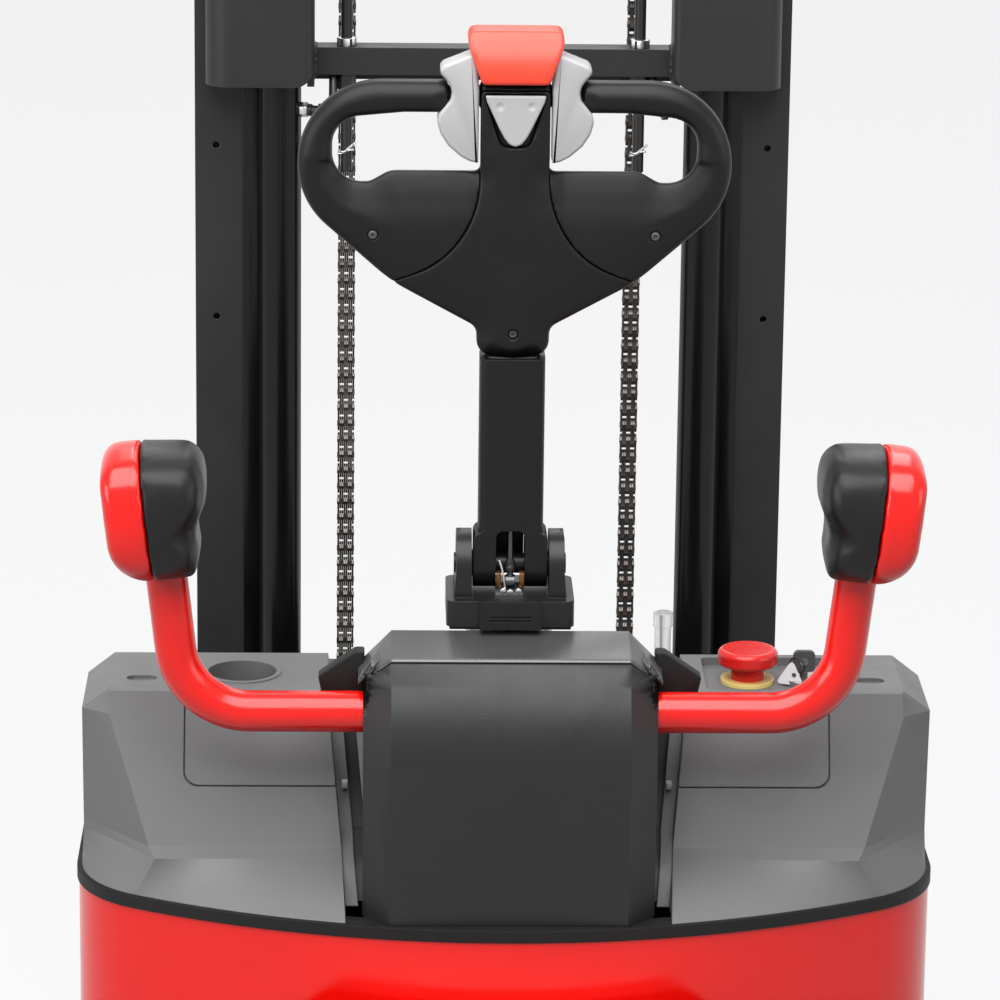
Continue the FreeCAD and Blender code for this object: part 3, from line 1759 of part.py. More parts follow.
def oil_tank():
    """Translucent oil tank on the shelf in front of the right cover, with a capped filler neck."""
    rear = cover_front + tank_gap
    front = drive_bay_front - tank_gap
    rear_edge = [(tank_inner_x, rear), (tank_outer_x, rear)]
    front_edge = [(tank_outer_x, front), (tank_inner_x, front)]
    corners = sharp(rear_edge + front_edge, tank_round)
    tank = slab(corners, plan(trim_bottom), z_axis * tank_height)
    middle = (rear + front) / 2
    top = trim_bottom + tank_height
    neck = rod(filler_radius, vec(filler_x, middle, top), z_axis, filler_neck)
    cap = rod(filler_cap_radius, vec(filler_x, middle, top + filler_neck - filler_cap), z_axis, filler_cap)
    return fuse([tank, neck, cap])


def channel(outer_x, flange, wall, rear_y, depth, low, high):
    """Right-hand upright: a channel that opens towards the middle of the mast."""
    whole = box(outer_x - flange, outer_x, rear_y, rear_y + depth, low, high)
    inside = box(
        outer_x - flange - overrun,
        outer_x - wall,
        rear_y + wall,
        rear_y + depth - wall,
        low - overrun,
        high + overrun,
    )
    return whole.cut(inside)


def hat_bracket(low):
    """Bent plate that reaches round the lift cylinder from the upright to the cross beam."""
    plate = bracket_plate
    far = beam_y + beam_depth
    corners = [
        (bracket_outer_x, mast_y, 0),
        (bracket_outer_x, bracket_rear_y, bracket_bend),
        (bracket_inner_x, bracket_rear_y, bracket_inner_bend),
        (bracket_inner_x, far, 0),
        (bracket_inner_x + plate, far, 0),
        (bracket_inner_x + plate, bracket_rear_y + plate, 0),
        (bracket_outer_x - plate, bracket_rear_y + plate, bracket_bend - plate),
        (bracket_outer_x - plate, mast_y, 0),
    ]
    bracket = slab(corners, plan(low), z_axis * bracket_height)
    trim = box(
        bracket_inner_x - overrun,
        bracket_inner_x + bracket_corner,
        bracket_rear_y - overrun,
        bracket_rear_y + bracket_inner_bend,
        low - overrun,
        low + bracket_corner,
    )
    corner_disc = rod(
        bracket_corner,
        vec(bracket_inner_x + bracket_corner, bracket_rear_y - overrun, low + bracket_corner),
        y_axis,
        bracket_bend,
    )
    return bracket.cut(trim.cut(corner_disc))


def mast_tie(low, rear):
    """Cross beam between two bent brackets."""
    pieces = [box(-bracket_inner_x, bracket_inner_x, rear, rear + beam_depth, low, low + beam_height)]
    bracket = hat_bracket(low - (beam_bottom - bracket_bottom))
    return pieces + [mirrored(bracket, side) for side in (-1, 1)]


def chain_rear_y():
    return sheave_y - sheave_radius - chain_depth / 2


def chain_front_y():
    return sheave_y + sheave_radius + chain_depth / 2


def outer_mast():
    """Fixed mast stage: two channels, foot plate, two ties and the row of accessory holes."""
    pieces = mast_tie(beam_bottom, beam_y) + mast_tie(upper_tie, bracket_rear_y)
    foot_half = cylinder_x - gland_radius - inner_gap
    foot_front = mast_y + mast_wall
    foot_top = mast_bottom + foot_beam_height
    pieces.append(box(-foot_half, foot_half, mast_y, foot_front, mast_bottom, foot_top))
    for side in (-1, 1):
        upright = channel(mast_half, mast_flange, mast_wall, mast_y, mast_depth, mast_bottom, mast_top)
        for step in (0, 1):
            z = mast_hole_low + step * mast_hole_pitch
            start = vec(mast_half - mast_hole_inset, mast_y - overrun, z)
            hole = rod(mast_hole_radius, start, y_axis, mast_wall + overrun * 2)
            upright = upright.cut(hole)
        foot = box(
            foot_half - foot_plate,
            mast_half - mast_flange,
            cylinder_y - gland_radius,
            foot_front,
            mast_bottom,
            mast_bottom + foot_plate,
        )
        pieces += [mirrored(upright, side), mirrored(foot, side)]
    mast = fuse(pieces)
    for side in (-1, 1):
        place = vec(side * chain_x, chain_rear_y(), beam_bottom - overrun)
        mast = mast.cut(rod(anchor_radius + running_gap, place, z_axis, beam_height + overrun * 2))
    return mast


def lift_cylinders():
    """Two lift cylinders with a wider gland at the top."""
    cylinders = []
    low = mast_bottom + foot_plate
    for side in (-1, 1):
        foot = vec(side * cylinder_x, cylinder_y, low)
        barrel = rod(cylinder_radius, foot, z_axis, cylinder_top - low)
        gland = rod(gland_radius, vec(foot.x, foot.y, cylinder_top - gland_height), z_axis, gland_height)
        bore = rod(cylinder_bore, vec(foot.x, foot.y, low + floor_plate), z_axis, cylinder_top)
        cylinders.append(fuse([barrel, gland]).cut(bore))
    return Part.makeCompound(cylinders)


def lift_rods():
    """Piston rods that push the inner mast up."""
    top = inner_top - head_beam_height
    rods = [
        rod(rod_radius, vec(side * cylinder_x, cylinder_y, rod_foot), z_axis, top - rod_foot)
        for side in (-1, 1)
    ]
    return Part.makeCompound(rods)


def hexagon(radius):
    return [
        (radius * math.cos(math.radians(angle)), radius * math.sin(math.radians(angle)))
        for angle in range(0, 360, 60)
    ]


def chain_anchors():
    """Threaded anchor rods through the beam, with nuts above and below and a block for the chain."""
    anchors = []
    for side in (-1, 1):
        x = side * chain_x
        y = chain_rear_y()
        low_nut = beam_bottom - anchor_nut_height
        pieces = [rod(anchor_radius, vec(x, y, anchor_low), z_axis, anchor_eye_top - anchor_low)]
        for z in (low_nut, low_nut - anchor_nut_height, beam_bottom + beam_height):
            nut = slab(sharp(hexagon(anchor_nut)), plan(z), z_axis * anchor_nut_height)
            nut.translate(vec(x, y, 0))
            pieces.append(nut)
        half = anchor_eye / 2
        low = anchor_eye_top - anchor_eye
        pieces.append(
            box(x - half, x + half, y - chain_depth / 2, y + chain_depth / 2, low, anchor_eye_top)
        )
        anchors.append(fuse(pieces))
    return Part.makeCompound(anchors)


def chain_run(x, y, low, high):
    """Straight run of leaf chain: wide and narrow packs of plates in turn."""
    count = max(2, round((high - low) / chain_pitch))
    step = (high - low) / count
    right = []
    for index in range(count):
        width = chain_waist if index % 2 else chain_width
        right += [(width / 2, low + index * step), (width / 2, low + (index + 1) * step)]
    points = right + [(-u, v) for u, v in reversed(right)]
    run = slab(sharp(points), across(y - chain_depth / 2), y_axis * chain_depth)
    run.translate(vec(x, 0, 0))
    return run


def chains_rear():
    """Fixed chain runs from the anchors up to the sheaves."""
    runs = [chain_run(side * chain_x, chain_rear_y(), anchor_eye_top, sheave_z) for side in (-1, 1)]
    return Part.makeCompound(runs)


def chains_front():
    """Chain over each sheave and down to the fork carriage."""
    runs = []
    low = carriage_tie_low + chain_lug_height
    for side in (-1, 1):
        x = side * chain_x
        wrap = tube(
            sheave_radius + chain_depth,
            sheave_radius,
            vec(x - chain_waist / 2, sheave_y, sheave_z),
            x_axis,
            chain_waist,
        )
        reach = sheave_radius + chain_depth + overrun
        below = box(x - reach, x + reach, sheave_y - reach, sheave_y + reach, sheave_z - reach, sheave_z)
        runs.append(fuse([wrap.cut(below), chain_run(x, chain_front_y(), low, sheave_z)]))
    return Part.makeCompound(runs)


def sheave(side):
    """Flanged chain sheave."""
    half = sheave_width / 2
    groove = chain_width / 2 + running_gap
    root = sheave_radius - running_gap
    corners = [
        (sheave_pin + bearing_gap, -half, 0),
        (sheave_flange, -half, 0),
        (sheave_flange, -groove, 0),
        (root, -groove, 0),
        (root, groove, 0),
        (sheave_flange, groove, 0),
        (sheave_flange, half, 0),
        (sheave_pin + bearing_gap, half, 0),
    ]
    return turned(corners, vec(side * chain_x, sheave_y, sheave_z))


def inner_rear_y():
    return mast_y + mast_wall + inner_gap


def inner_depth():
    return mast_depth - (mast_wall + inner_gap) * 2


def inner_mast():
    """Moving mast stage: two channels, low and middle ties, head beam and sheave cheeks with pins."""
    rear = inner_rear_y()
    tie_half = inner_half - inner_wall
    beam_low = inner_top - head_beam_height
    ear_half = mast_half - mast_flange - inner_gap
    pieces = [
        box(-tie_half, tie_half, rear, rear + inner_wall, inner_tie_low, inner_tie_low + inner_tie_height),
        box(-tie_half, tie_half, rear, rear + inner_wall, inner_tie_mid, inner_tie_mid + inner_tie_height),
        box(-tie_half, tie_half, rear, rear + head_beam_depth, beam_low, inner_top),
        box(-ear_half, ear_half, cylinder_y - cylinder_radius, rear + inner_wall, beam_low, inner_top),
    ]
    for side in (-1, 1):
        upright = channel(inner_half, inner_flange, inner_wall, rear, inner_depth(), inner_bottom, inner_top)
        pieces.append(mirrored(upright, side))
        x = side * chain_x
        inner = sheave_width / 2 + running_gap
        for sign in (-1, 1):
            start = x + min(sign * inner, sign * (inner + sheave_cheek))
            cheek = slab(
                [
                    (sheave_y - sheave_radius / 2, sheave_z - sheave_radius / 2, sheave_pin),
                    (sheave_y + sheave_radius / 2, sheave_z - sheave_radius / 2, sheave_pin),
                    (sheave_y + sheave_radius / 2, beam_low, 0),
                    (sheave_y - sheave_radius / 2, beam_low, 0),
                ],
                along(start),
                x_axis * sheave_cheek,
            )
            pieces.append(cheek)
        reach = inner + sheave_cheek
        pieces.append(rod(sheave_pin, vec(x - reach, sheave_y, sheave_z), x_axis, reach * 2))
    return fuse(pieces)


def carriage():
    """Fork carriage: roller plates, cross tie with chain lugs and two fork bars."""
    inner = carriage_plate_x - carriage_plate
    roller_y = inner_rear_y() + inner_depth() / 2
    roller_radius = inner_depth() / 2 - inner_wall - running_gap
    bar_front = bar_y + bar_thick
    pieces = [
        box(
            -inner,
            inner,
            carriage_tie_y,
            carriage_tie_y + carriage_tie,
            carriage_tie_low,
            carriage_tie_low + carriage_tie_height,
        )
    ]
    for low in (bar_low, bar_high):
        pieces.append(box(-bar_half, bar_half, bar_y, bar_front, low, low + bar_height))
    for side in (-1, 1):
        plate = slab(
            [
                (carriage_rear_y, carriage_low, carriage_round),
                (bar_y, carriage_low, 0),
                (bar_y, bar_high + bar_height, 0),
                (carriage_rear_y, carriage_high, carriage_round),
            ],
            along(inner),
            x_axis * carriage_plate,
        )
        parts = [plate]
        roller_x = inner_half - inner_wall - inner_gap - roller_width
        for z in (roller_low, roller_high):
            parts.append(rod(roller_pin, vec(inner, roller_y, z), x_axis, roller_x - inner))
            parts.append(rod(roller_radius, vec(roller_x, roller_y, z), x_axis, roller_width))
        lug = box(
            chain_x - chain_lug_half,
            chain_x + chain_lug_half,
            chain_front_y() - chain_depth / 2,
            carriage_tie_y,
            carriage_tie_low,
            carriage_tie_low + chain_lug_height,
        )
        parts.append(lug)
        pieces += [mirrored(part, side) for part in parts]
    return fuse(pieces)


def fork(side):
    """Forged fork: tapered blade, round heel, shank and a hook over each carriage bar."""
    root = fork_root_y
    heel_top = fork_blade_low + fork_thick
    profile = [
        (root, fork_blade_low, fork_heel),
        (fork_tip_y, fork_blade_low, 0),
        (fork_tip_y, fork_blade_low + fork_tip, fork_tip / 2),
        (root + fork_thick + fork_length / 2, heel_top, fork_blade_bend),
        (root + fork_thick, heel_top, fork_heel / 2),
        (root + fork_thick, fork_shank_top, hook_height / 2),
        (root, fork_shank_top, 0),
    ]
    blade = slab(profile, along(fork_x - fork_width / 2), x_axis * fork_width)
    half = fork_width / 2
    tip_half = fork_tip_width / 2
    shoulder_y = fork_tip_y - fork_width
    outline = [
        (fork_x - half, root - overrun, 0),
        (fork_x + half, root - overrun, 0),
        (fork_x + half, shoulder_y, fork_width),
        (fork_x + tip_half, fork_tip_y, fork_tip_round),
        (fork_x - tip_half, fork_tip_y, fork_tip_round),
        (fork_x - half, shoulder_y, fork_width),
    ]
    blade = blade.common(slab(outline, plan(0), z_axis * fork_shank_top))
    bar_top = bar_high + bar_height
    top_hook = box(fork_x - half, fork_x + half, bar_y - hook_lip, root, bar_top, bar_top + hook_height)
    lip = box(
        fork_x - half,
        fork_x + half,
        bar_y - hook_lip,
        bar_y - running_gap,
        bar_top - hook_lip,
        bar_top + hook_height,
    )
    low_hook = box(fork_x - half, fork_x + half, bar_y, root, bar_low - hook_height, bar_low)
    return mirrored(fuse([blade, top_hook, lip, low_hook]), side)


def platform():
    """Folding platform, stowed upright: tray with a rim, rounded far corners and a hinge barrel."""
    rear = platform_hinge_y - platform_thick / 2
    top = platform_hinge_z + platform_length
    corners = [
        (platform_half, platform_hinge_z, 0),
        (platform_half, top, platform_corner),
    ]
    plate = slab(both_halves(corners), across(rear), y_axis * platform_thick)
    inset = mat_margin / 2
    hollow = [
        (platform_half - inset, platform_hinge_z + platform_barrel + inset, 0),
        (platform_half - inset, top - inset, platform_corner - inset),
    ]
    under = slab(both_halves(hollow), across(rear - overrun), y_axis * (platform_thick / 2 + overrun))
    barrel = rod(
        platform_barrel, vec(-platform_half, platform_hinge_y, platform_hinge_z), x_axis, platform_half * 2
    )
    lip = slab(both_halves(corners), across(rear - platform_lip), y_axis * platform_lip)
    low_gap = box(
        -platform_half - overrun,
        platform_half + overrun,
        rear - platform_lip - overrun,
        rear,
        platform_hinge_z - overrun,
        platform_hinge_z + platform_barrel + inset,
    )
    bore_end = vec(-body_width, platform_hinge_y, platform_hinge_z)
    bore = rod(platform_pin_radius + bearing_gap, bore_end, x_axis, body_width * 2)
    lip_rear = across(rear - platform_lip - overrun)
    lip_hollow = slab(both_halves(hollow), lip_rear, y_axis * (platform_lip + overrun * 2))
    return fuse([plate.cut(under), barrel, lip.cut(low_gap).cut(lip_hollow)]).cut(bore)


def platform_mat():
    """Rubber mat on the face that is trodden on when the platform is down."""
    front = platform_hinge_y + platform_thick / 2
    half = platform_half - mat_margin
    corners = [
        (half, platform_hinge_z + platform_barrel + mat_margin, mat_margin / 2),
        (half, platform_hinge_z + platform_length - mat_margin, platform_corner - mat_margin),
    ]
    return slab(both_halves(corners), across(front), y_axis * mat_thick)


def platform_lugs():
    """Two lugs on the rear of the body with the pin that carries the platform."""
    pieces = []
    for side in (-1, 1):
        lug = slab(
            [
                (platform_hinge_y - platform_barrel, platform_hinge_z - platform_barrel, platform_barrel),
                (platform_lug_reach, platform_hinge_z - platform_barrel, 0),
                (platform_lug_reach, platform_hinge_z + platform_barrel, 0),
                (platform_hinge_y - platform_barrel, platform_hinge_z + platform_barrel, platform_barrel),
            ],
            along(platform_lug_x),
            x_axis * platform_lug,
        )
        pieces.append(mirrored(lug, side))
    reach = platform_lug_x + platform_lug
    pin = rod(platform_pin_radius, vec(-reach, platform_hinge_y, platform_hinge_z), x_axis, reach * 2)
    body = body_block(0, drive_bay_front, body_bottom, trim_bottom)
    return fuse(pieces + [pin]).cut(body)


arm_right, cushion_right = arm_pieces()
nodes = {
    "chassis_frame": chassis_frame(),
    "counterweight": counterweight(),
    "trim_strip": trim_strip(),
    "bay_panels": bay_panels(),
    "battery": battery(),
    "battery_lid": battery_lid(),
    "pump_unit": pump_unit(),
    "controller": controller(),
    "oil_tank": oil_tank(),
    "service_panels": Part.makeCompound([service_panel(side) for name, side in sides]),
    "centre_cover": centre_cover(),
    "centre_lid": centre_lid(),
    "lid_tab": lid_tab(),
    "arm_bearing": arm_bearing(),
    "stop_collar": emergency_collar(),
    "stop_button": emergency_button(),
    "key_lock": key_lock(),
    "key": key(),
    "steer_ring": steer_ring(),
    "gearbox": gearbox(),
    "traction_motor": traction_motor(),
    "drive_wheel": drive_wheel(),
    "steering_column": steering_column(),
    "tiller_base": tiller_base(),
    "tiller_pin": tiller_pin(),
    "tiller_arm": tiller_arm(),
    "gas_spring": gas_spring(),
    "head_loop": head_loop(),
    "head_core": head_core(),
    "shield_button": shield_button(),
    "end_button": end_button(),
    "outer_mast": outer_mast(),
    "lift_cylinders": lift_cylinders(),
    "chain_anchors": chain_anchors(),
    "chains_rear": chains_rear(),
    "inner_mast": inner_mast(),
    "lift_rods": lift_rods(),
    "chains_front": chains_front(),
    "carriage": carriage(),
    "platform": platform(),
    "platform_mat": platform_mat(),
    "platform_lugs": platform_lugs(),
}
for name, side in sides:
    nodes["side_cover_" + name] = side_cover(side)
    nodes["thumb_switch_" + name] = mirrored(thumb_switch(), side)
    nodes["arm_" + name] = mirrored(arm_right, side)
    nodes["pad_" + name] = mirrored(cushion_right, side)
    nodes["sheave_" + name] = sheave(side)
    nodes["fork_" + name] = fork(side)
    nodes["load_wheel_" + name] = load_wheel(side)
    nodes["castor_yoke_" + name] = castor_yoke(side)
    nodes["castor_wheel_" + name] = castor_wheel(side)

# The origin lies on the floor, midway between the rear of the stowed platform and the fork tips
for name, shape in nodes.items():
    shape.translate(vec(0, -middle_y, 0))
    shape.exportStep("parts/" + name + ".step")
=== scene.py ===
# %% [markdown]
# # A counterbalance stacker, dressed in Blender
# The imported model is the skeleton: every solid already stands where the real piece stands. This
# lesson keeps the rigid solids, gives each a finish, and models what a plain solid can't show:
# foam pads, the moulded head, leaf chain, screws, fittings and weld beads. Lengths are
# millimetres measured from the rear face of the red body, as on a drawing; one helper turns them
# into metres.

# %% Load the frame
import math

import bmesh
import bpy
from mathutils import Matrix, Vector
from mathutils.bvhtree import BVHTree
from mathutils.kdtree import KDTree


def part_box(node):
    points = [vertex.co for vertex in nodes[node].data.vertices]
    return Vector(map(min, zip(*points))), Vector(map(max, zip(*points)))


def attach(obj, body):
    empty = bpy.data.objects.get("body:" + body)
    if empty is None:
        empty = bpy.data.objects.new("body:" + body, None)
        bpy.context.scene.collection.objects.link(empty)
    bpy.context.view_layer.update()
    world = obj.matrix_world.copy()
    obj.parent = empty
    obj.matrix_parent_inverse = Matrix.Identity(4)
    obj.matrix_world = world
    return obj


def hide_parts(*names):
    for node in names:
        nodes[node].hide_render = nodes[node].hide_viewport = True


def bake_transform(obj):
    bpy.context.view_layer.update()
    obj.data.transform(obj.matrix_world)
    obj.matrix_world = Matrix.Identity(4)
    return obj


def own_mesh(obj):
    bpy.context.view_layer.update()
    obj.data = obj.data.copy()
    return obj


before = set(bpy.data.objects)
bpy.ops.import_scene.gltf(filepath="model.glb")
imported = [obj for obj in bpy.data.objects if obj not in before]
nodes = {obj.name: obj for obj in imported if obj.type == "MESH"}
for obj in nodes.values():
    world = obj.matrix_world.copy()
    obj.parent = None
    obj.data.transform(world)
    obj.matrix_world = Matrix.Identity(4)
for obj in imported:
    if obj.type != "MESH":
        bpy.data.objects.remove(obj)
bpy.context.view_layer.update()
scene = bpy.context.scene
REAR_FACE = -1.157
SIDES = (("left", -1), ("right", 1))


def spot(x, y, z):
    """A point in millimetres: x from the centre line, y from the rear face, z from the floor."""
    return Vector((x / 1000, y / 1000 + REAR_FACE, z / 1000))


print("solids loaded:", len(nodes))

# %% [markdown]
# ## Camera
# A tall machine is photographed from far back with a long lens, so that upright lines stay
# nearly parallel. The camera stands behind the operator's place, looks down by about fifteen
# degrees and leans by less than one. Three simple rotations in order are easier to read than one
# set of Euler angles.

# %% Camera at the photograph's place
LENS, SENSOR = 180, 36
HEADING, DOWN, LEAN = -1.500, 15.522, 0.688
STAND = (-0.1327, -5.6854, 2.3031)


def new_object(name, data):
    """An object in the scene."""
    made = bpy.data.objects.new(name, data)
    scene.collection.objects.link(made)
    return made


lens = bpy.data.cameras.new("long_lens")
lens.lens = LENS
lens.sensor_width = SENSOR
lens.clip_end = 60
camera = new_object("camera", lens)
heading = Matrix.Rotation(math.radians(HEADING), 4, "Z")
tilt = Matrix.Rotation(math.radians(90 - DOWN), 4, "X")
lean = Matrix.Rotation(math.radians(LEAN), 4, "Z")
camera.matrix_world = Matrix.Translation(STAND) @ heading @ tilt @ lean
scene.camera = camera
print("camera stands", round(-camera.location.y + REAR_FACE, 2), "m behind the body")

# %% [markdown]
# ## Background
# The machine stands before plain white. World and floor answer camera, glossy and transmission
# rays with white, so metal and glass show it too, while the light on the object stays at an
# ordinary level. A Light Path node tells the rays apart.

# %% Node helpers and world
def new_node(tree, kind, **values):
    """A shader node with inputs (an underscore stands for a space) or properties set."""
    node = tree.nodes.new("ShaderNode" + kind)
    for name, value in values.items():
        label = name.replace("_", " ")
        if label in node.inputs:
            node.inputs[label].default_value = value
        else:
            setattr(node, name, value)
    return node


def wire(tree, *links):
    """Joins nodes; a link is a node, its output, the next node and its input."""
    for start, output, end, socket in links:
        tree.links.new(start.outputs[output], end.inputs[socket])


def seen_directly(tree):
    """1 for camera, glossy and transmission rays, 0 for rays that carry light."""
    path = new_node(tree, "LightPath")
    first = new_node(tree, "Math", operation="MAXIMUM")
    second = new_node(tree, "Math", operation="MAXIMUM")
    wire(tree, (path, "Is Camera Ray", first, 0), (path, "Is Glossy Ray", first, 1),
         (first, 0, second, 0), (path, "Is Transmission Ray", second, 1))
    return second


WHITE = (1, 1, 1, 1)
BACKDROP = (0.93, 0.93, 0.93, 1)
LIGHT_LEVEL = 0.12
world = bpy.data.worlds.new("studio")
scene.world = world
world.use_nodes = True
tree = world.node_tree
tree.nodes.clear()
dim = new_node(tree, "Background", Color=WHITE, Strength=LIGHT_LEVEL)
white = new_node(tree, "Background", Color=BACKDROP, Strength=1.0)
mix = new_node(tree, "MixShader")
out = new_node(tree, "OutputWorld")
wire(tree, (seen_directly(tree), 0, mix, "Fac"), (dim, 0, mix, 1), (white, 0, mix, 2),
     (mix, 0, out, "Surface"))
print("world nodes:", len(tree.nodes))

# %% [markdown]
# ## Floor
# One wide disc, so that its rim stays outside the picture. Seen directly it is mostly a white
# glow, with a share of true shading so that the machine's shadow grounds it. For rays that carry
# light it is dark, so it throws little light back up.

# %% Floor
FLOOR_RADIUS = 28
GLOW_SHARE = 0.86


def fresh(make, **values):
    """A new bmesh with one primitive."""
    bm = bmesh.new()
    make(bm, **values)
    return bm


def mesh_of(bm, name):
    """Turns a bmesh into a mesh and frees it."""
    mesh = bpy.data.meshes.new(name)
    bm.to_mesh(mesh)
    bm.free()
    return mesh


disc = fresh(bmesh.ops.create_circle, cap_ends=True, radius=FLOOR_RADIUS, segments=96)
mesh = mesh_of(disc, "floor")
floor = new_object("floor", mesh)
pale = bpy.data.materials.new("pale_floor")
pale.use_nodes = True
mesh.materials.append(pale)
tree = pale.node_tree
shaded = tree.nodes["Principled BSDF"]
shaded.inputs["Base Color"].default_value = (0.60, 0.60, 0.60, 1)
shaded.inputs["Roughness"].default_value = 0.75
glow = new_node(tree, "Emission", Color=WHITE, Strength=1.0)
seen = new_node(tree, "MixShader", Fac=GLOW_SHARE)
quiet = new_node(tree, "BsdfDiffuse", Color=(0.16, 0.16, 0.16, 1))
mix = new_node(tree, "MixShader")
wire(tree, (shaded, 0, seen, 1), (glow, 0, seen, 2), (seen_directly(tree), 0, mix, "Fac"),
     (quiet, 0, mix, 1), (seen, 0, mix, 2), (mix, 0, tree.nodes["Material Output"], "Surface"))
print("floor radius:", FLOOR_RADIUS, "m")

# %% [markdown]
# ## Lamps
# One wide softbox hangs above the operator's place, between camera and machine, and draws the
# broad pale streak along the red tubes. A second lamp hangs in front of the mast, and a weak one
# stands at either side. Area lamps are used because their size sets how soft a streak is.

# %% Softboxes
def softbox(name, place, aim, width, height, power):
    """An area lamp that points at a place on the machine."""
    data = bpy.data.lights.new(name, "AREA")
    data.shape = "RECTANGLE"
    data.size = width
    data.size_y = height
    data.energy = power
    lamp = new_object(name, data)
    lamp.location = place
    lamp.rotation_euler = (Vector(aim) - Vector(place)).to_track_quat("-Z", "Y").to_euler()


softbox("rear_wide", (-0.4, -2.8, 4.5), (0, -0.9, 0.9), 4.6, 4.2, 330)
softbox("left_fill", (-3.4, -2.6, 1.9), (0, -0.8, 0.9), 1.8, 1.8, 48)
softbox("right_fill", (3.4, -2.6, 1.9), (0, -0.8, 0.9), 1.8, 1.8, 20)
softbox("front_top", (0.3, 2.4, 3.9), (0, -0.2, 0.9), 2.6, 2.2, 55)
print("four lamps hung")

# %% [markdown]
# ## Grain and drift
# Most finishes need the same few effects, so each is a node group, built once. They read Object
# coordinates, so they stay with the piece when a joint moves. The first two are the leathery
# grain of a moulded cover, small cells softened by noise, and a slow drift of tone, without
# which a large surface looks like plain computer colour.

# %% Grain and drift groups
def new_group(name, inputs, output):
    """A shader group with its input node and output node."""
    group = bpy.data.node_groups.new(name, "ShaderNodeTree")
    for label, value in inputs:
        socket = group.interface.new_socket(label, in_out="INPUT", socket_type="NodeSocketFloat")
        socket.default_value = value
    group.interface.new_socket(output, in_out="OUTPUT", socket_type="NodeSocketFloat")
    return group, group.nodes.new("NodeGroupInput"), group.nodes.new("NodeGroupOutput")


def moulded_grain():
    """Height of the grain."""
    group, start, end = new_group("moulded_grain", [("Scale", 900.0)], "Height")
    place = new_node(group, "TexCoord")
    cells = new_node(group, "TexVoronoi", feature="SMOOTH_F1", Smoothness=0.6)
    noise = new_node(group, "TexNoise", Detail=2.0, Roughness=0.6)
    mix = new_node(group, "Mix", Factor=0.5)
    for texture in (cells, noise):
        wire(group, (place, "Object", texture, "Vector"), (start, "Scale", texture, "Scale"))
    wire(group, (cells, "Distance", mix, "A"), (noise, "Fac", mix, "B"),
         (mix, "Result", end, "Height"))
    return group


def tone_drift():
    """Slow drift over a large surface, centred on one."""
    group, start, end = new_group("tone_drift", [("Scale", 4.0), ("Amount", 0.1)], "Factor")
    place = new_node(group, "TexCoord")
    noise = new_node(group, "TexNoise", Detail=4.0, Roughness=0.55)
    spread = new_node(group, "MapRange", From_Min=0.3, From_Max=0.7, To_Min=-1.0)
    drift = new_node(group, "Math", operation="MULTIPLY_ADD")
    drift.inputs[2].default_value = 1.0
    wire(group, (place, "Object", noise, "Vector"), (start, "Scale", noise, "Scale"),
         (noise, "Fac", spread, "Value"), (spread, "Result", drift, 0),
         (start, "Amount", drift, 1), (drift, 0, end, "Factor"))
    return group


GRAIN = moulded_grain()
DRIFT = tone_drift()
print("groups:", GRAIN.name, DRIFT.name)

# %% [markdown]
# ## Worn edges
# Paint wears through at the edges of plate first. The mask compares the true normal with one
# that the Bevel node has rounded: they differ only near an edge, so no edge has to be marked by
# hand. Noise breaks the line up.

# %% Group for worn edges
def worn_edges():
    """Mask of the edges, broken up by noise."""
    group, start, end = new_group("worn_edges", [("Radius", 0.002)], "Mask")
    place = new_node(group, "TexCoord")
    geometry = new_node(group, "NewGeometry")
    rounded = new_node(group, "Bevel", samples=4)
    dot = new_node(group, "VectorMath", operation="DOT_PRODUCT")
    sharpen = new_node(group, "MapRange", From_Min=0.97, From_Max=0.82)
    noise = new_node(group, "TexNoise", Scale=60.0, Detail=5.0, Roughness=0.7)
    patches = new_node(group, "MapRange", From_Min=0.4, From_Max=0.62)
    product = new_node(group, "Math", operation="MULTIPLY", use_clamp=True)
    wire(group, (start, "Radius", rounded, "Radius"), (rounded, "Normal", dot, 0),
         (geometry, "Normal", dot, 1), (dot, "Value", sharpen, "Value"),
         (place, "Object", noise, "Vector"), (noise, "Fac", patches, "Value"),
         (sharpen, "Result", product, 0), (patches, "Result", product, 1),
         (product, 0, end, "Mask"))
    return group


EDGES = worn_edges()
print("group:", EDGES.name)

# %% [markdown]
# ## The finish recipe
# One recipe makes all the opaque finishes, so that they differ only in values a maker would
# name. A Bevel node rounds the shading of sharp edges, as paint does on real plate. What is the
# same all over a surface sits on the shader's own sockets.

# %% Recipe
ROUGH_DRIFT = 0.12
GRAIN_DEPTH = 0.0005


def placed(tree, group, **values):
    """Places a node group in a material."""
    return new_node(tree, "Group", node_tree=group, **values)


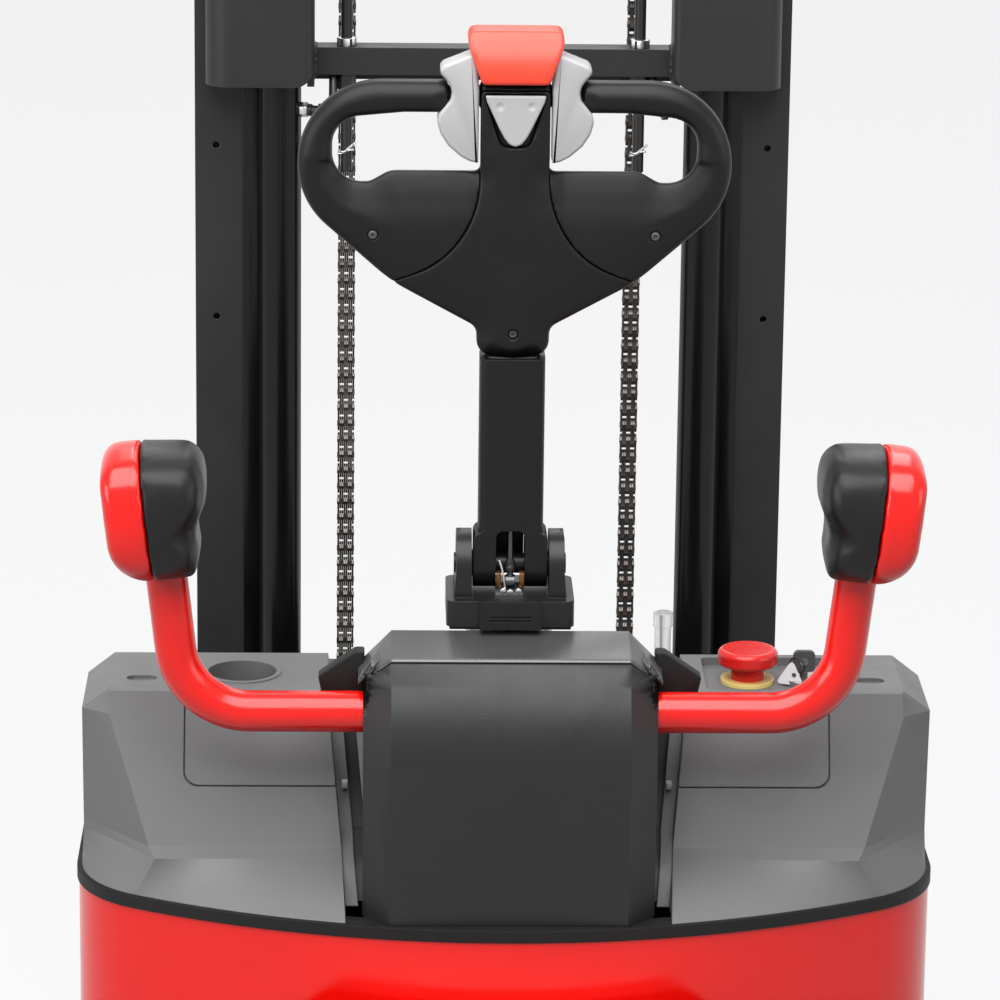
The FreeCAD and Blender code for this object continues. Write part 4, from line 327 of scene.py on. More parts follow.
def finish(name, colour, roughness, grain=0.0, grain_scale=900.0, drift=0.08, drift_scale=4.0,
           wear=None, wear_radius=0.002, edge=0.0012, metallic=0.0, specular=0.5):
    """Drifting tone, bumped grain, rounded and perhaps worn edges."""
    material = bpy.data.materials.new(name)
    material.use_nodes = True
    tree = material.node_tree
    shade = tree.nodes["Principled BSDF"]
    shade.inputs["Metallic"].default_value = metallic
    shade.inputs["Specular IOR Level"].default_value = specular
    tone = placed(tree, DRIFT, Scale=drift_scale, Amount=drift)
    paint = new_node(tree, "Mix", data_type="RGBA", blend_type="MULTIPLY", Factor=1.0,
                     A=(*colour, 1))
    wire(tree, (tone, "Factor", paint, "B"))
    if wear:
        mask = placed(tree, EDGES, Radius=wear_radius)
        worn = new_node(tree, "Mix", data_type="RGBA", B=(*wear, 1))
        wire(tree, (mask, "Mask", worn, "Factor"), (paint, "Result", worn, "A"))
        paint = worn
    patch = placed(tree, DRIFT, Scale=drift_scale * 7, Amount=ROUGH_DRIFT)
    matt = new_node(tree, "Math", operation="MULTIPLY")
    matt.inputs[1].default_value = roughness
    rounded = new_node(tree, "Bevel", samples=4, Radius=edge)
    wire(tree, (paint, "Result", shade, "Base Color"), (patch, "Factor", matt, 0),
         (matt, 0, shade, "Roughness"))
    if grain:
        texture = placed(tree, GRAIN, Scale=grain_scale)
        bump = new_node(tree, "Bump", Strength=grain, Distance=GRAIN_DEPTH)
        wire(tree, (texture, "Height", bump, "Height"), (rounded, "Normal", bump, "Normal"))
        rounded = bump
    wire(tree, (rounded, "Normal", shade, "Normal"))
    return material


print("recipe ready")

# %% [markdown]
# ## Paints, mouldings and rubber
# The body and arms wear glossy red paint, the covers are grained plastic, and the mast is satin
# black. Blacks that face a white room turn grey through their sheen alone, so their base is very
# dark and their specular level low. After the colour come roughness, depth and scale of the
# grain, and drift.

# %% Paints and plastics
RED = finish("red_gloss_paint", (0.88, 0.005, 0.002), 0.20, 0.04, 260, 0.03, edge=0.002)
GREY = finish("grey_grained_cover", (0.142, 0.142, 0.145), 0.50, 0.45, 850, 0.05)
CHARCOAL = finish("charcoal_grained_cover", (0.012, 0.012, 0.0125), 0.42, 0.40, 850, specular=0.38)
# The lid is the same charcoal plastic as the cover; its lighter base colour is painted sheen,
# standing in for the grazing reflection on its top.
LID_PAINTED_SHEEN = finish("charcoal_lid_painted_sheen", (0.050, 0.050, 0.051), 0.36, 0.30, 850, specular=1.0)
MAST = finish("mast_satin_black", (0.022, 0.0225, 0.023), 0.42, 0.10, 420, 0.12,
              wear=(0.07, 0.07, 0.07), wear_radius=0.0015, specular=0.3)
FRAME_BLACK = finish("frame_satin_black", (0.022, 0.022, 0.023), 0.45, 0.12, 380, 0.15,
                     wear=(0.10, 0.10, 0.10), specular=0.35)
SOFT_BLACK = finish("soft_touch_black", (0.005, 0.005, 0.0053), 0.40, 0.20, 1500, 0.06,
                    specular=0.25)
SATIN_CASTING = finish("satin_black_casting", (0.009, 0.009, 0.0095), 0.34, 0.10, 500, 0.1,
                       specular=0.3)
LIGHT_GREY = finish("light_grey_plastic", (0.47, 0.47, 0.48), 0.38, 0.08, 1600, 0.03)
SIGNAL_RED = finish("orange_red_plastic", (0.90, 0.060, 0.028), 0.30, 0.05, 1200, 0.03)
STOP_RED = finish("stop_red_plastic", (0.72, 0.012, 0.010), 0.28, 0.05, 1200, 0.03)
YELLOW = finish("yellow_plastic", (0.85, 0.68, 0.24), 0.35, 0.05, drift=0.03)
RUBBER = finish("black_rubber", (0.007, 0.007, 0.007), 0.60, 0.20, 700, 0.1, specular=0.25)
FOAM = finish("foam_skin", (0.006, 0.006, 0.0063), 0.38, 0.18, 620, 0.08, specular=0.28)
GLOSS_BLACK = finish("gloss_black_tube", (0.004, 0.004, 0.0042), 0.22, 0.05, 400, specular=0.25)
TAG_GREY = finish("tag_grey", (0.60, 0.60, 0.60), 0.50, 0.15, drift=0.08)
KEY_GREY = finish("key_cap_grey", (0.075, 0.075, 0.078), 0.40, 0.1, drift=0.06)
print("finishes so far:", len(bpy.data.materials))

# %% [markdown]
# ## Metals
# Rods, nuts and chain are bare or plated metal, which shows the white room more than its own
# colour. Roughness and patchiness tell them apart: chrome is smooth and even, oiled chain dark
# and blotched.

# %% Metal finishes
STEEL = finish("machined_steel", (0.46, 0.45, 0.44), 0.32, 0.06, metallic=1.0, drift=0.1)
CHROME = finish("hard_chrome", (0.72, 0.72, 0.73), 0.12, metallic=1.0, drift=0.03)
ZINC = finish("zinc_plate", (0.60, 0.60, 0.61), 0.34, 0.08, metallic=1.0, drift=0.12)
CHAIN_STEEL = finish("oiled_chain_steel", (0.100, 0.088, 0.080), 0.32, 0.10, metallic=0.6,
                     drift=0.35, drift_scale=60, edge=0.0004)
BLACK_OXIDE = finish("black_oxide_steel", (0.030, 0.029, 0.028), 0.34, 0.08, metallic=0.5,
                     drift=0.2)
FORGED = finish("forged_black", (0.028, 0.028, 0.029), 0.48, 0.25, 240, 0.2,
                wear=(0.28, 0.27, 0.26), wear_radius=0.003)
CASTING = finish("cast_grey", (0.16, 0.16, 0.165), 0.5, 0.3, 300, 0.15)
SPRING_ROD = finish("dark_spring_rod", (0.085, 0.085, 0.088), 0.25, metallic=1.0, drift=0.05)
BRONZE = finish("bearing_bronze", (0.21, 0.078, 0.028), 0.36, 0.1, metallic=0.8, drift=0.2,
                drift_scale=40)
print("finishes so far:", len(bpy.data.materials))

# %% [markdown]
# ## Wheels and tank
# A wheel is one solid, but its tyre and hub are different stuff. A mask that knows the axle and
# a radius mixes two colours and roughnesses, so the wheel needs no cutting. The oil tank is
# milky polyethylene, which lets light through and blurs it.

# %% Wheel and tank finishes
HUB_ROUGHNESS = 0.38


def tyre_mask():
    """1 outside a radius about an axle that runs across the machine, 0 on the hub inside it."""
    group, start, end = new_group("tyre_mask", [("Axle Y", 0.0), ("Axle Z", 0.0),
                                                ("Radius", 0.09)], "Mask")
    place = new_node(group, "TexCoord")
    plane = new_node(group, "VectorMath", operation="MULTIPLY")
    plane.inputs[1].default_value = (0, 1, 1)
    axle = new_node(group, "CombineXYZ")
    apart = new_node(group, "VectorMath", operation="DISTANCE")
    outside = new_node(group, "Math", operation="GREATER_THAN")
    wire(group, (start, "Axle Y", axle, "Y"), (start, "Axle Z", axle, "Z"),
         (place, "Object", plane, 0), (plane, 0, apart, 0), (axle, 0, apart, 1),
         (apart, "Value", outside, 0), (start, "Radius", outside, 1), (outside, 0, end, "Mask"))
    return group


TYRE_MASK = tyre_mask()


def wheel_finish(name, axle_y, axle_z, radius, hub):
    """Polyurethane tyre outside the radius, painted hub inside it."""
    material = finish(name, (0.030, 0.028, 0.026), 0.55, grain=0.2, grain_scale=420, drift=0.2)
    tree = material.node_tree
    shade = tree.nodes["Principled BSDF"]
    axle = spot(0, axle_y, axle_z)
    mask = placed(tree, TYRE_MASK, Axle_Y=axle.y, Axle_Z=axle.z, Radius=radius / 1000)
    colour = new_node(tree, "Mix", data_type="RGBA", A=(*hub, 1))
    rough = new_node(tree, "Mix", A=HUB_ROUGHNESS)
    for blend, socket in ((colour, "Base Color"), (rough, "Roughness")):
        tree.links.new(shade.inputs[socket].links[0].from_socket, blend.inputs["B"])
        wire(tree, (mask, "Mask", blend, "Factor"), (blend, "Result", shade, socket))
    return material


LOAD_WHEEL = wheel_finish("load_wheel", 1018, 115, 89, (0.10, 0.10, 0.105))
CASTOR_WHEEL = wheel_finish("castor_wheel", 160, 62.5, 44, (0.30, 0.30, 0.30))
DRIVE_WHEEL = wheel_finish("drive_wheel", 150, 115, 88, (0.09, 0.09, 0.095))

MILKY = finish("milky_tank", (0.90, 0.91, 0.91), 0.22, drift=0.04)
shade = MILKY.node_tree.nodes["Principled BSDF"]
shade.inputs["Transmission Weight"].default_value = 0.7
shade.inputs["IOR"].default_value = 1.25
print("finishes:", len(bpy.data.materials))

# %% [markdown]
# ## Finishes on the solids
# Most rigid solids already have the right shape and only receive a finish. The table reads like
# a paint list; solids that a later cell models anew aren't in it.

# %% Paint list
PAINT_LIST = {
    RED: ["counterweight", "bay_panels", "platform"],
    GREY: ["side_cover_left", "side_cover_right", "service_panels"],
    CHARCOAL: ["battery", "battery_lid"],
    MAST: ["outer_mast", "inner_mast", "carriage"],
    GLOSS_BLACK: ["lift_cylinders"],
    FRAME_BLACK: ["chassis_frame", "arm_bearing", "controller", "platform_lugs", "pump_unit"],
    SOFT_BLACK: ["tiller_arm"],
    SATIN_CASTING: ["tiller_base", "tiller_pin"],
    STOP_RED: ["stop_button"],
    YELLOW: ["stop_collar"],
    RUBBER: ["platform_mat", "trim_strip", "lid_tab"],
    STEEL: ["steer_ring", "steering_column", "key_lock", "sheave_left", "sheave_right"],
    CHROME: ["lift_rods"],
    SPRING_ROD: ["gas_spring"],
    ZINC: ["castor_yoke_left", "castor_yoke_right"],
    KEY_GREY: ["key"],
    BLACK_OXIDE: ["chain_anchors"],
    FORGED: ["fork_left", "fork_right"],
    MILKY: ["oil_tank"],
    LOAD_WHEEL: ["load_wheel_left", "load_wheel_right"],
    CASTOR_WHEEL: ["castor_wheel_left", "castor_wheel_right"],
    DRIVE_WHEEL: ["drive_wheel"],
    CASTING: ["gearbox", "traction_motor"],
}
for material, names in PAINT_LIST.items():
    for name in names:
        data = nodes[name].data
        data.materials.clear()
        data.materials.append(material)
print("solids painted:", sum(map(len, PAINT_LIST.values())), "of", len(nodes))

# %% [markdown]
# ## Copies that can be reshaped
# Soft and moulded forms start as copies of their solids, so they sit exactly where the solids
# do. A solid's long thin triangles don't bend well, so a voxel Remesh gives even quads first.

# %% Copy helpers
def kept_mesh(piece):
    """The mesh of a piece with all its modifiers applied."""
    bpy.context.view_layer.update()
    graph = bpy.context.evaluated_depsgraph_get()
    return bpy.data.meshes.new_from_object(piece.evaluated_get(graph))


def merged(node):
    """A copy of a solid's mesh with its loose triangles merged."""
    bm = bmesh.new()
    bm.from_mesh(nodes[node].data)
    bmesh.ops.remove_doubles(bm, verts=bm.verts, dist=1e-5)
    return bm


def shape_of(mesh):
    """Turns a mesh into a bmesh and removes it."""
    bm = bmesh.new()
    bm.from_mesh(mesh)
    bpy.data.meshes.remove(mesh)
    return bm


def remeshed(bm, voxel):
    """The same form in even quads; takes the bmesh and returns a new one."""
    piece = new_object("even", mesh_of(bm, "even"))
    even = piece.modifiers.new("even", "REMESH")
    even.mode = "VOXEL"
    even.voxel_size = voxel
    made = kept_mesh(piece)
    bpy.data.objects.remove(piece)
    return shape_of(made)


def relax(bm, rounds, verts=None):
    """Smooths vertices a number of times."""
    for turn in range(rounds):
        bmesh.ops.smooth_vert(bm, verts=verts or bm.verts[:], factor=0.5, use_axis_x=True,
                              use_axis_y=True, use_axis_z=True)


print("copy helpers ready")

# %% [markdown]
# ## From shapes to pieces
# Small things of one kind, such as nuts, are joined to one piece. A finished shape becomes an
# object with a finish, smooth shading that keeps sharp edges, and a body to ride on.

# %% Piece helpers
def joined(shapes):
    """Several shapes as one."""
    whole = bmesh.new()
    for shape in shapes:
        mesh = mesh_of(shape, "part")
        whole.from_mesh(mesh)
        bpy.data.meshes.remove(mesh)
    return whole


def made_piece(bm, name, material, angle=35):
    """An object, smooth except where faces meet at a steeper angle."""
    mesh = mesh_of(bm, name)
    mesh.materials.append(material)
    mesh.shade_smooth()
    mesh.set_sharp_from_angle(angle=math.radians(angle))
    piece = new_object(name, mesh)
    print(name, "faces", len(mesh.polygons))
    return piece


def keep(bm, name, material, body, angle=35):
    """Turns a finished shape into a piece that rides on a body."""
    piece = made_piece(bm, name, material, angle)
    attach(piece, body)
    return piece


print("piece helpers ready")

# %% [markdown]
# ## Arms: red shell and tube
# Each arm is a bent red tube that carries a pad: a hard red shell outside, foam inside. The
# pad's flank is rounded like a cushion, which the solid doesn't show, so one rule pulls its
# corners onto a rounder outline, for shell and foam alike. The tube stays as it is.

# %% Shells and tubes
PAD_HALF = 0.055
PAD_FULL = 1.20
ROUNDNESS = 0.70
SPLAY = math.radians(6.5)
PAD_FOOT = (322.54, 70, 876.85)
PAD_MIDDLE = 1016
SHELL_VOXEL = 0.003


def connected(vert):
    """All the vertices that edges join to one."""
    found = {vert}
    front = found
    while front:
        front = {edge.other_vert(near) for near in front for edge in near.link_edges} - found
        found = found | front
    return found


def round_flank(verts, sign):
    """Pulls a pad's square flank onto a rounder, fuller outline."""
    x, y, z = PAD_FOOT
    up = Vector((sign * math.sin(SPLAY), 0, math.cos(SPLAY)))
    middle = spot(sign * x, y, z) + up * (PAD_MIDDLE - z) / 1000
    for vert in verts:
        off = vert.co - middle
        across = max(-1.0, min(1.0, off.y / PAD_HALF))
        along = max(-1.0, min(1.0, off.dot(up) / PAD_HALF))
        wide = PAD_FULL * math.sqrt(1 - ROUNDNESS * along * along / 2) - 1
        high = PAD_FULL * math.sqrt(1 - ROUNDNESS * across * across / 2) - 1
        vert.co.y += across * PAD_HALF * wide
        vert.co += up * along * PAD_HALF * high


for side, sign in SIDES:
    arm = merged("arm_" + side)
    tube = connected(min(arm.verts, key=lambda vert: vert.co.z))
    rest = [vert for vert in arm.verts if vert not in tube]
    shell = arm.copy()
    shell.verts.ensure_lookup_table()
    arm.verts.index_update()
    bmesh.ops.delete(shell, geom=[shell.verts[vert.index] for vert in tube], context="VERTS")
    bmesh.ops.delete(arm, geom=rest, context="VERTS")
    piece = keep(arm, "arm_tube_" + side, RED, "arm_" + side)
    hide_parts("arm_" + side)
    shell = remeshed(shell, SHELL_VOXEL)
    round_flank(shell.verts, sign)
    relax(shell, 4)
    keep(shell, "pad_shell_" + side, RED, "arm_" + side, angle=60)

# %% [markdown]
# ## Foam
# The black half of a pad is skinned foam, crowned towards the operator. It is rounded, smoothed
# a little smaller, then swollen by Cloth with pressure, as foam fills its skin. Points close to
# the arm are pinned, so it stays seated, and no point may move further than a cap.

# %% Foam pads
SWELL_CAP = 0.005
SWELL_FRAMES = 20
PRESSURE = 4.0
FOAM_VOXEL = 0.004
SEAT_REACH = 0.006


def swollen(piece, pinned):
    """Where Cloth with pressure takes the points, capped."""
    start = [vert.co.copy() for vert in piece.data.vertices]
    group = piece.vertex_groups.new(name="seat")
    group.add(pinned, 1.0, "REPLACE")
    cloth = piece.modifiers.new("swell", "CLOTH")
    cloth.settings.use_pressure = True
    cloth.settings.uniform_pressure_force = PRESSURE
    cloth.settings.vertex_group_mass = "seat"
    cloth.settings.effector_weights.gravity = 0.0
    for step in range(1, SWELL_FRAMES + 1):
        scene.frame_set(step)
    ended = kept_mesh(piece)
    piece.modifiers.remove(cloth)
    scene.frame_set(1)
    places = []
    for vert, origin in zip(ended.vertices, start):
        move = vert.co - origin
        places.append(origin + move * min(1.0, SWELL_CAP / max(move.length, 1e-9)))
    return places


for side, sign in SIDES:
    arm = nodes["arm_" + side].data
    corners = [vert.co for vert in arm.vertices]
    tree = BVHTree.FromPolygons(corners, [face.vertices for face in arm.polygons])
    foam = remeshed(merged("pad_" + side), FOAM_VOXEL)
    foam.verts.ensure_lookup_table()
    pinned = [vert.index for vert in foam.verts if tree.find_nearest(vert.co)[3] < SEAT_REACH]
    held = set(pinned)
    round_flank(foam.verts, sign)
    relax(foam, 4, [vert for vert in foam.verts if vert.index not in held])
    piece = keep(foam, "foam_" + side, FOAM, "arm_" + side, angle=80)
    for vert, place in zip(piece.data.vertices, swollen(piece, pinned)):
        vert.co = place
    skin = piece.modifiers.new("skin", "SUBSURF")
    skin.levels = skin.render_levels = 1
    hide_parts("pad_" + side)

# %% [markdown]
# ## The moulded head
# The tiller's head is one soft moulding: round grips that swell into pillow-like wings, with a
# core panel let in between two curved seams. The solid has a plain rounded edge. Here, how far a
# point lies inside the outline sets how thick the moulding is there, on a circle's arc: small on
# the grips, which become round tubes, and wide on the wings, whose fronts lean away under the
# finger holes.

# %% Rules for the head's depth
HEAD_MIDDLE = spot(0, 150, 0).y
EDGE_ARC = 0.013
GRIP_ARC = 0.0175
ROLL_SHARE = 0.62


def ramp(value, start, end):
    """0 at the start, 1 at the end, and level outside them."""
    return max(0.0, min(1.0, (value - start) / (end - start)))


def arc_share(depth_in, arc):
    """Share of the full thickness at a distance inside the outline."""
    gone = 1 - min(depth_in, arc) / arc
    return math.sqrt(max(1e-4, 1 - gone * gone))


def wanted_arc(place):
    """Small on the grips, wide on the wings and the core."""
    low = ramp(place.z, 1.345, 1.300)
    inner = ramp(abs(place.x), 0.206, 0.156)
    return GRIP_ARC + (0.030 * inner + 0.006) * low


def wing_roll(place):
    """How far a wing's front leans away: fully under the finger holes."""
    rise = ramp(place.z, 1.255, 1.327) * (place.z < 1.34)
    inner = ramp(abs(place.x), 0.200, 0.155) * ramp(abs(place.x), 0.028, 0.048)
    return rise * rise * inner


print("middle of the head at", round(HEAD_MIDDLE, 4), "m")

# %% [markdown]
# ## Pillow the loop and the core
# The loop's upright walls are its outline. A KD-tree finds the nearest wall point quickly for
# many thousands of points. The core stays unsmoothed at its top, where the shield-shaped button
# runs close to it.

# %% Loop and core
WALL_TILT = 0.35
CORE_CALM = 1.342
loop = remeshed(merged("head_loop"), 0.002)
loop.normal_update()
walls = [vert.co for vert in loop.verts
         if abs(vert.normal.y) < WALL_TILT and vert.co.y > HEAD_MIDDLE + 0.002]
outline = KDTree(len(walls))
for index, place in enumerate(walls):
    outline.insert((place.x, 0, place.z), index)
outline.balance()
core = remeshed(merged("head_core"), 0.0014)
for bm in (loop, core):
    for vert in bm.verts:
        inside = outline.find((vert.co.x, 0, vert.co.z))[2] + 0.0006
        ratio = arc_share(inside, wanted_arc(vert.co)) / arc_share(inside, EDGE_ARC)
        if bm is loop and vert.co.y < HEAD_MIDDLE:
            ratio *= 1 - ROLL_SHARE * wing_roll(vert.co)
        vert.co.y = HEAD_MIDDLE + (vert.co.y - HEAD_MIDDLE) * min(1.0, ratio)
relax(loop, 2)
relax(core, 6, [vert for vert in core.verts if vert.co.z < CORE_CALM])
for bm, part in ((loop, "loop"), (core, "core")):
    piece = keep(bm, "moulded_" + part, SOFT_BLACK, "tiller", angle=50)
    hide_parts("head_" + part)

# %% [markdown]
# ## Thumb switches
# The grey thumb switches are butterfly rockers with a notch where the grip ends. Each is an
# outline of a few points, closed to a face, its corners softened, then extruded and bevelled. A
# handful of points is easier to correct than a modelled curve.

# %% Rockers
ROCKER = [(37, 1441), (42, 1444.5), (53.6, 1439.5), (68.8, 1433.5), (72.1, 1429.5), (71.2, 1424.7),
          (66.7, 1420), (62.4, 1414), (60.8, 1407), (62.2, 1400), (67.6, 1393.5), (73, 1386.4),
          (74.4, 1378.8), (71.4, 1368), (64, 1356.5), (52, 1346), (43, 1341.3), (35, 1339.5),
          (34.8, 1411)]


def soften(bm, geom, offset, segments, affect="EDGES"):
    """A round bevel; its offset is in millimetres."""
    bmesh.ops.bevel(bm, geom=geom, offset=offset / 1000, offset_type="OFFSET", segments=segments,
                    profile=0.5, affect=affect, material=-1)


def outward(bm):
    """Turns all faces outward."""
    bmesh.ops.recalc_face_normals(bm, faces=bm.faces)


def moved_copy(made):
    """The new vertices that an extrusion made."""
    return [item for item in made["geom"] if isinstance(item, bmesh.types.BMVert)]


def cut_out(points, front, back, corner, edge):
    """A face from a few points across the machine, extruded in depth and bevelled."""
    bm = bmesh.new()
    face = bm.faces.new([bm.verts.new(spot(x, front, z)) for x, z in points])
    soften(bm, face.verts[:], corner, 3, "VERTICES")
    far = moved_copy(bmesh.ops.extrude_face_region(bm, geom=bm.faces[:], use_keep_orig=True))
    bmesh.ops.translate(bm, verts=far, vec=(0, (back - front) / 1000, 0))
    outward(bm)
    rims = [rim for rim in bm.edges if abs(rim.verts[0].co.y - rim.verts[1].co.y) < 1e-6]
    soften(bm, rims, edge, 4)
    return bm


for side, sign in SIDES:
    points = [(sign * x, z) for x, z in ROCKER]
    rocker = cut_out(points if sign > 0 else points[::-1], 132.2, 167.8, 1.5, 3.2)
    piece = keep(rocker, "rocker_" + side, LIGHT_GREY, "thumb_" + side, angle=40)
    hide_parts("thumb_switch_" + side)

# %% [markdown]
# ## Shield and end button
# The shield-shaped button is cut out the same way; two round dimples are pressed into its
# remeshed face. The red end button is a softened copy whose face leans away towards the top. Its
# foot is raised, so that it clears the loop when pressed.

# %% Shield and end button
SHIELD = [(28.9, 1405.9), (27.4, 1399.6), (15.8, 1374.6), (10.6, 1364.8), (5.9, 1359), (0, 1356.6),
          (-5.9, 1359), (-10.6, 1364.8), (-15.8, 1374.6), (-27.4, 1399.6), (-28.9, 1405.9)]
DIMPLE, DIMPLE_X, DIMPLE_Z = 0.0052, 0.015, 1.3956
CAP_LOW, CAP_TOP = 1.4146, 1.466
CAP_HEIGHT, CAP_HALF, CAP_LEAN = 0.965, 0.028, 0.017
low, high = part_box("shield_button")
back = (high.y - REAR_FACE) * 1000 - 2
shield = remeshed(cut_out(SHIELD, 127.5, back, 1.0, 1.4), 0.0008)
for vert in shield.verts:
    apart = math.hypot(abs(vert.co.x) - DIMPLE_X, vert.co.z - DIMPLE_Z)
    if apart < DIMPLE and vert.co.y < spot(0, 129, 0).y:
        vert.co.y += 0.0006 * (1 + math.cos(math.pi * apart / DIMPLE))
piece = keep(shield, "shield_plate", LIGHT_GREY, "shield_button", 40)
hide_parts("shield_button")

button = remeshed(merged("end_button"), 0.0012)
relax(button, 10)
for vert in button.verts:
    vert.co.z = CAP_TOP - (CAP_TOP - vert.co.z) * CAP_HEIGHT
    rise = (vert.co.z - CAP_LOW) / (CAP_TOP - CAP_LOW)
    if vert.co.y < HEAD_MIDDLE:
        vert.co.y += CAP_LEAN * rise * rise * (HEAD_MIDDLE - vert.co.y) / CAP_HALF
relax(button, 3)
piece = keep(button, "end_cap", SIGNAL_RED, "end_button", angle=60)
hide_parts("end_button")

# %% [markdown]
# ## Centre cover
# The dark cover rolls back towards its top, so its upper part catches the softbox and the rest
# stays dark. Copies of the cover and its lid are sliced into levels, and each level moves
# forward and a little down, the higher the further. Two dark shoulders close the corners beside
# the lid.

# %% Roll the cover's top back
ROLL_LOW, ROLL_HIGH, ROLL_BACK, ROLL_DROP = 0.772, 0.8785, 0.040, 0.30
LEVELS = 16
FACE_DEPTH = spot(0, 46, 0).y
SHOULDER = [(141, 866), (150, 866), (186, 841), (180, 812), (141, 804)]
for part, material in (("cover", CHARCOAL), ("lid", LID_PAINTED_SHEEN)):
    cover = merged("centre_" + part)
    for step in range(LEVELS):
        height = ROLL_LOW + (ROLL_HIGH - ROLL_LOW) * step / LEVELS
        everything = cover.verts[:] + cover.edges[:] + cover.faces[:]
        bmesh.ops.bisect_plane(cover, geom=everything, dist=1e-6, plane_co=(0, 0, height),
                               plane_no=(0, 0, 1))
    for vert in cover.verts:
        rise = max(0.0, (vert.co.z - ROLL_LOW) / (ROLL_HIGH - ROLL_LOW))
        if vert.co.y < FACE_DEPTH:
            vert.co.y += ROLL_BACK * rise ** 2
            vert.co.z -= ROLL_DROP * ROLL_BACK * rise ** 2
    piece = keep(cover, "rolled_" + part, material, "chassis", angle=20)
    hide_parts("centre_" + part)
shoulders = [cut_out([(sign * x, z) for x, z in SHOULDER], 93, 112, 2.0, 1.5) for sign in (-1, 1)]
keep(joined(shoulders), "cover_shoulders", RUBBER, "chassis")

# %% [markdown]
# ## Helpers for small hardware
# Screws, nuts, pins and fittings are turned, hexagonal, square or bent from wire, so a few
# helpers cover them all, and one more points a shape along a direction and moves it into place.

# %% Turned, hexagonal, square and bent shapes
def put(bm, place, toward=(0, 0, 1)):
    """Points a shape's upright axis along a direction and moves it to a place."""
    turn = Vector(toward).to_track_quat("Z", "Y").to_matrix().to_4x4()
    bmesh.ops.transform(bm, matrix=Matrix.Translation(place) @ turn, verts=bm.verts)
    return bm


def rotate(bm, degrees, axis):
    """Turns a whole shape about the origin."""
    turn = Matrix.Rotation(math.radians(degrees), 3, axis)
    bmesh.ops.rotate(bm, verts=bm.verts, cent=(0, 0, 0), matrix=turn)


def spun(bm, geom, steps):
    """A full turn about the upright axis, closed and with its faces outward."""
    bmesh.ops.spin(bm, geom=geom, cent=(0, 0, 0), axis=(0, 0, 1), angle=2 * math.pi, steps=steps,
                   use_merge=True, use_duplicate=False)
    bmesh.ops.remove_doubles(bm, verts=bm.verts, dist=1e-6)
    outward(bm)
    return bm


def row_of(bm, places):
    """Vertices in a row and the edges between them."""
    row = [bm.verts.new(place) for place in places]
    return row, [bm.edges.new(pair) for pair in zip(row, row[1:])]


def turned(profile, steps=24):
    """Spins (radius, height) pairs in millimetres."""
    bm = bmesh.new()
    row, line = row_of(bm, [(radius / 1000, 0, height / 1000) for radius, height in profile])
    return spun(bm, row + line, steps)


def hexagon(radius, height, edge=0.8):
    """Hexagon nut or head standing on the origin, with broken edges."""
    bm = fresh(bmesh.ops.create_cone, cap_ends=True, segments=6, radius1=radius / 1000,
               radius2=radius / 1000, depth=height / 1000)
    bmesh.ops.translate(bm, verts=bm.verts, vec=(0, 0, height / 2000))
    soften(bm, bm.edges[:], edge, 2)
    return bm


def block(middle, sizes, edge):
    """A block with broken edges; middle and sizes are in millimetres."""
    bm = fresh(bmesh.ops.create_cube, size=1)
    bmesh.ops.scale(bm, vec=[size / 1000 for size in sizes], verts=bm.verts)
    soften(bm, bm.edges[:], edge, 2)
    return put(bm, spot(*middle))


def bent_bar(radius, points):
    """A round bar or pipe along a smooth curve through a few points in millimetres."""
    curve = bpy.data.curves.new("bar", "CURVE")
    curve.dimensions = "3D"
    curve.bevel_depth = radius / 1000
    curve.bevel_resolution = 4
    curve.use_fill_caps = True
    spline = curve.splines.new("NURBS")
    spline.points.add(len(points) - 1)
    for point, place in zip(spline.points, points):
        point.co = (*spot(*place), 1)
    spline.order_u = 3
    spline.use_endpoint_u = True
    piece = new_object("bar", curve)
    mesh = kept_mesh(piece)
    bpy.data.objects.remove(piece)
    bpy.data.curves.remove(curve)
    return shape_of(mesh)


print("hardware helpers ready")

# %% [markdown]
# ## Leaf chain: plates and links
# A lift chain is a stack of thin plates on pins: outer plates and a middle pair in every second
# link, two pairs with a slit between them in the others. One plate is a circle pulled apart by a
# pitch, drawn in at the waist and given its thickness. Few segments do, because there are
# thousands.

# %% Plates and links
PITCH = 19.05
PLATE, PLATE_RADIUS, WAIST = 2.2, 0.0083, 0.74
STEP = 2.45
PIN_RADIUS, PIN_LENGTH = 0.0035, 0.0204


def chain_plate():
    """One link plate in the plane of depth and height, its middle on the origin."""
    bm = fresh(bmesh.ops.create_circle, cap_ends=True, radius=PLATE_RADIUS, segments=12)
    rotate(bm, 15, "Z")
    for vert in bm.verts:
        vert.co.y += math.copysign(PITCH / 2000, vert.co.y)
    long_edges = [edge for edge in bm.edges if edge.calc_length() > PITCH / 1500]
    cut = bmesh.ops.subdivide_edges(bm, edges=long_edges, cuts=1)
    for vert in cut["geom_inner"]:
        if isinstance(vert, bmesh.types.BMVert):
            vert.co.x *= WAIST
    bmesh.ops.solidify(bm, geom=bm.faces[:], thickness=PLATE / 1000)
    outward(bm)
    upright = Matrix(((0, 0, 1), (1, 0, 0), (0, 1, 0))).to_4x4()
    bmesh.ops.transform(bm, matrix=upright, verts=bm.verts)
    middle = sum(vert.co.x for vert in bm.verts) / len(bm.verts)
    bmesh.ops.translate(bm, verts=bm.verts, vec=(-middle, 0, 0))
    return bm


def chain_link(places, name):
    """Plates at some of the eight places across the chain, and the pin at the upper end."""
    shapes = []
    for place in places:
        plate = chain_plate()
        bmesh.ops.translate(plate, verts=plate.verts, vec=((place - 3.5) * STEP / 1000, 0, 0))
        shapes.append(plate)
    pin = fresh(bmesh.ops.create_cone, cap_ends=True, segments=10, radius1=PIN_RADIUS,
                radius2=PIN_RADIUS, depth=PIN_LENGTH)
    shapes.append(put(pin, Vector((0, 0, PITCH / 2000)), (1, 0, 0)))
    return mesh_of(joined(shapes), name)


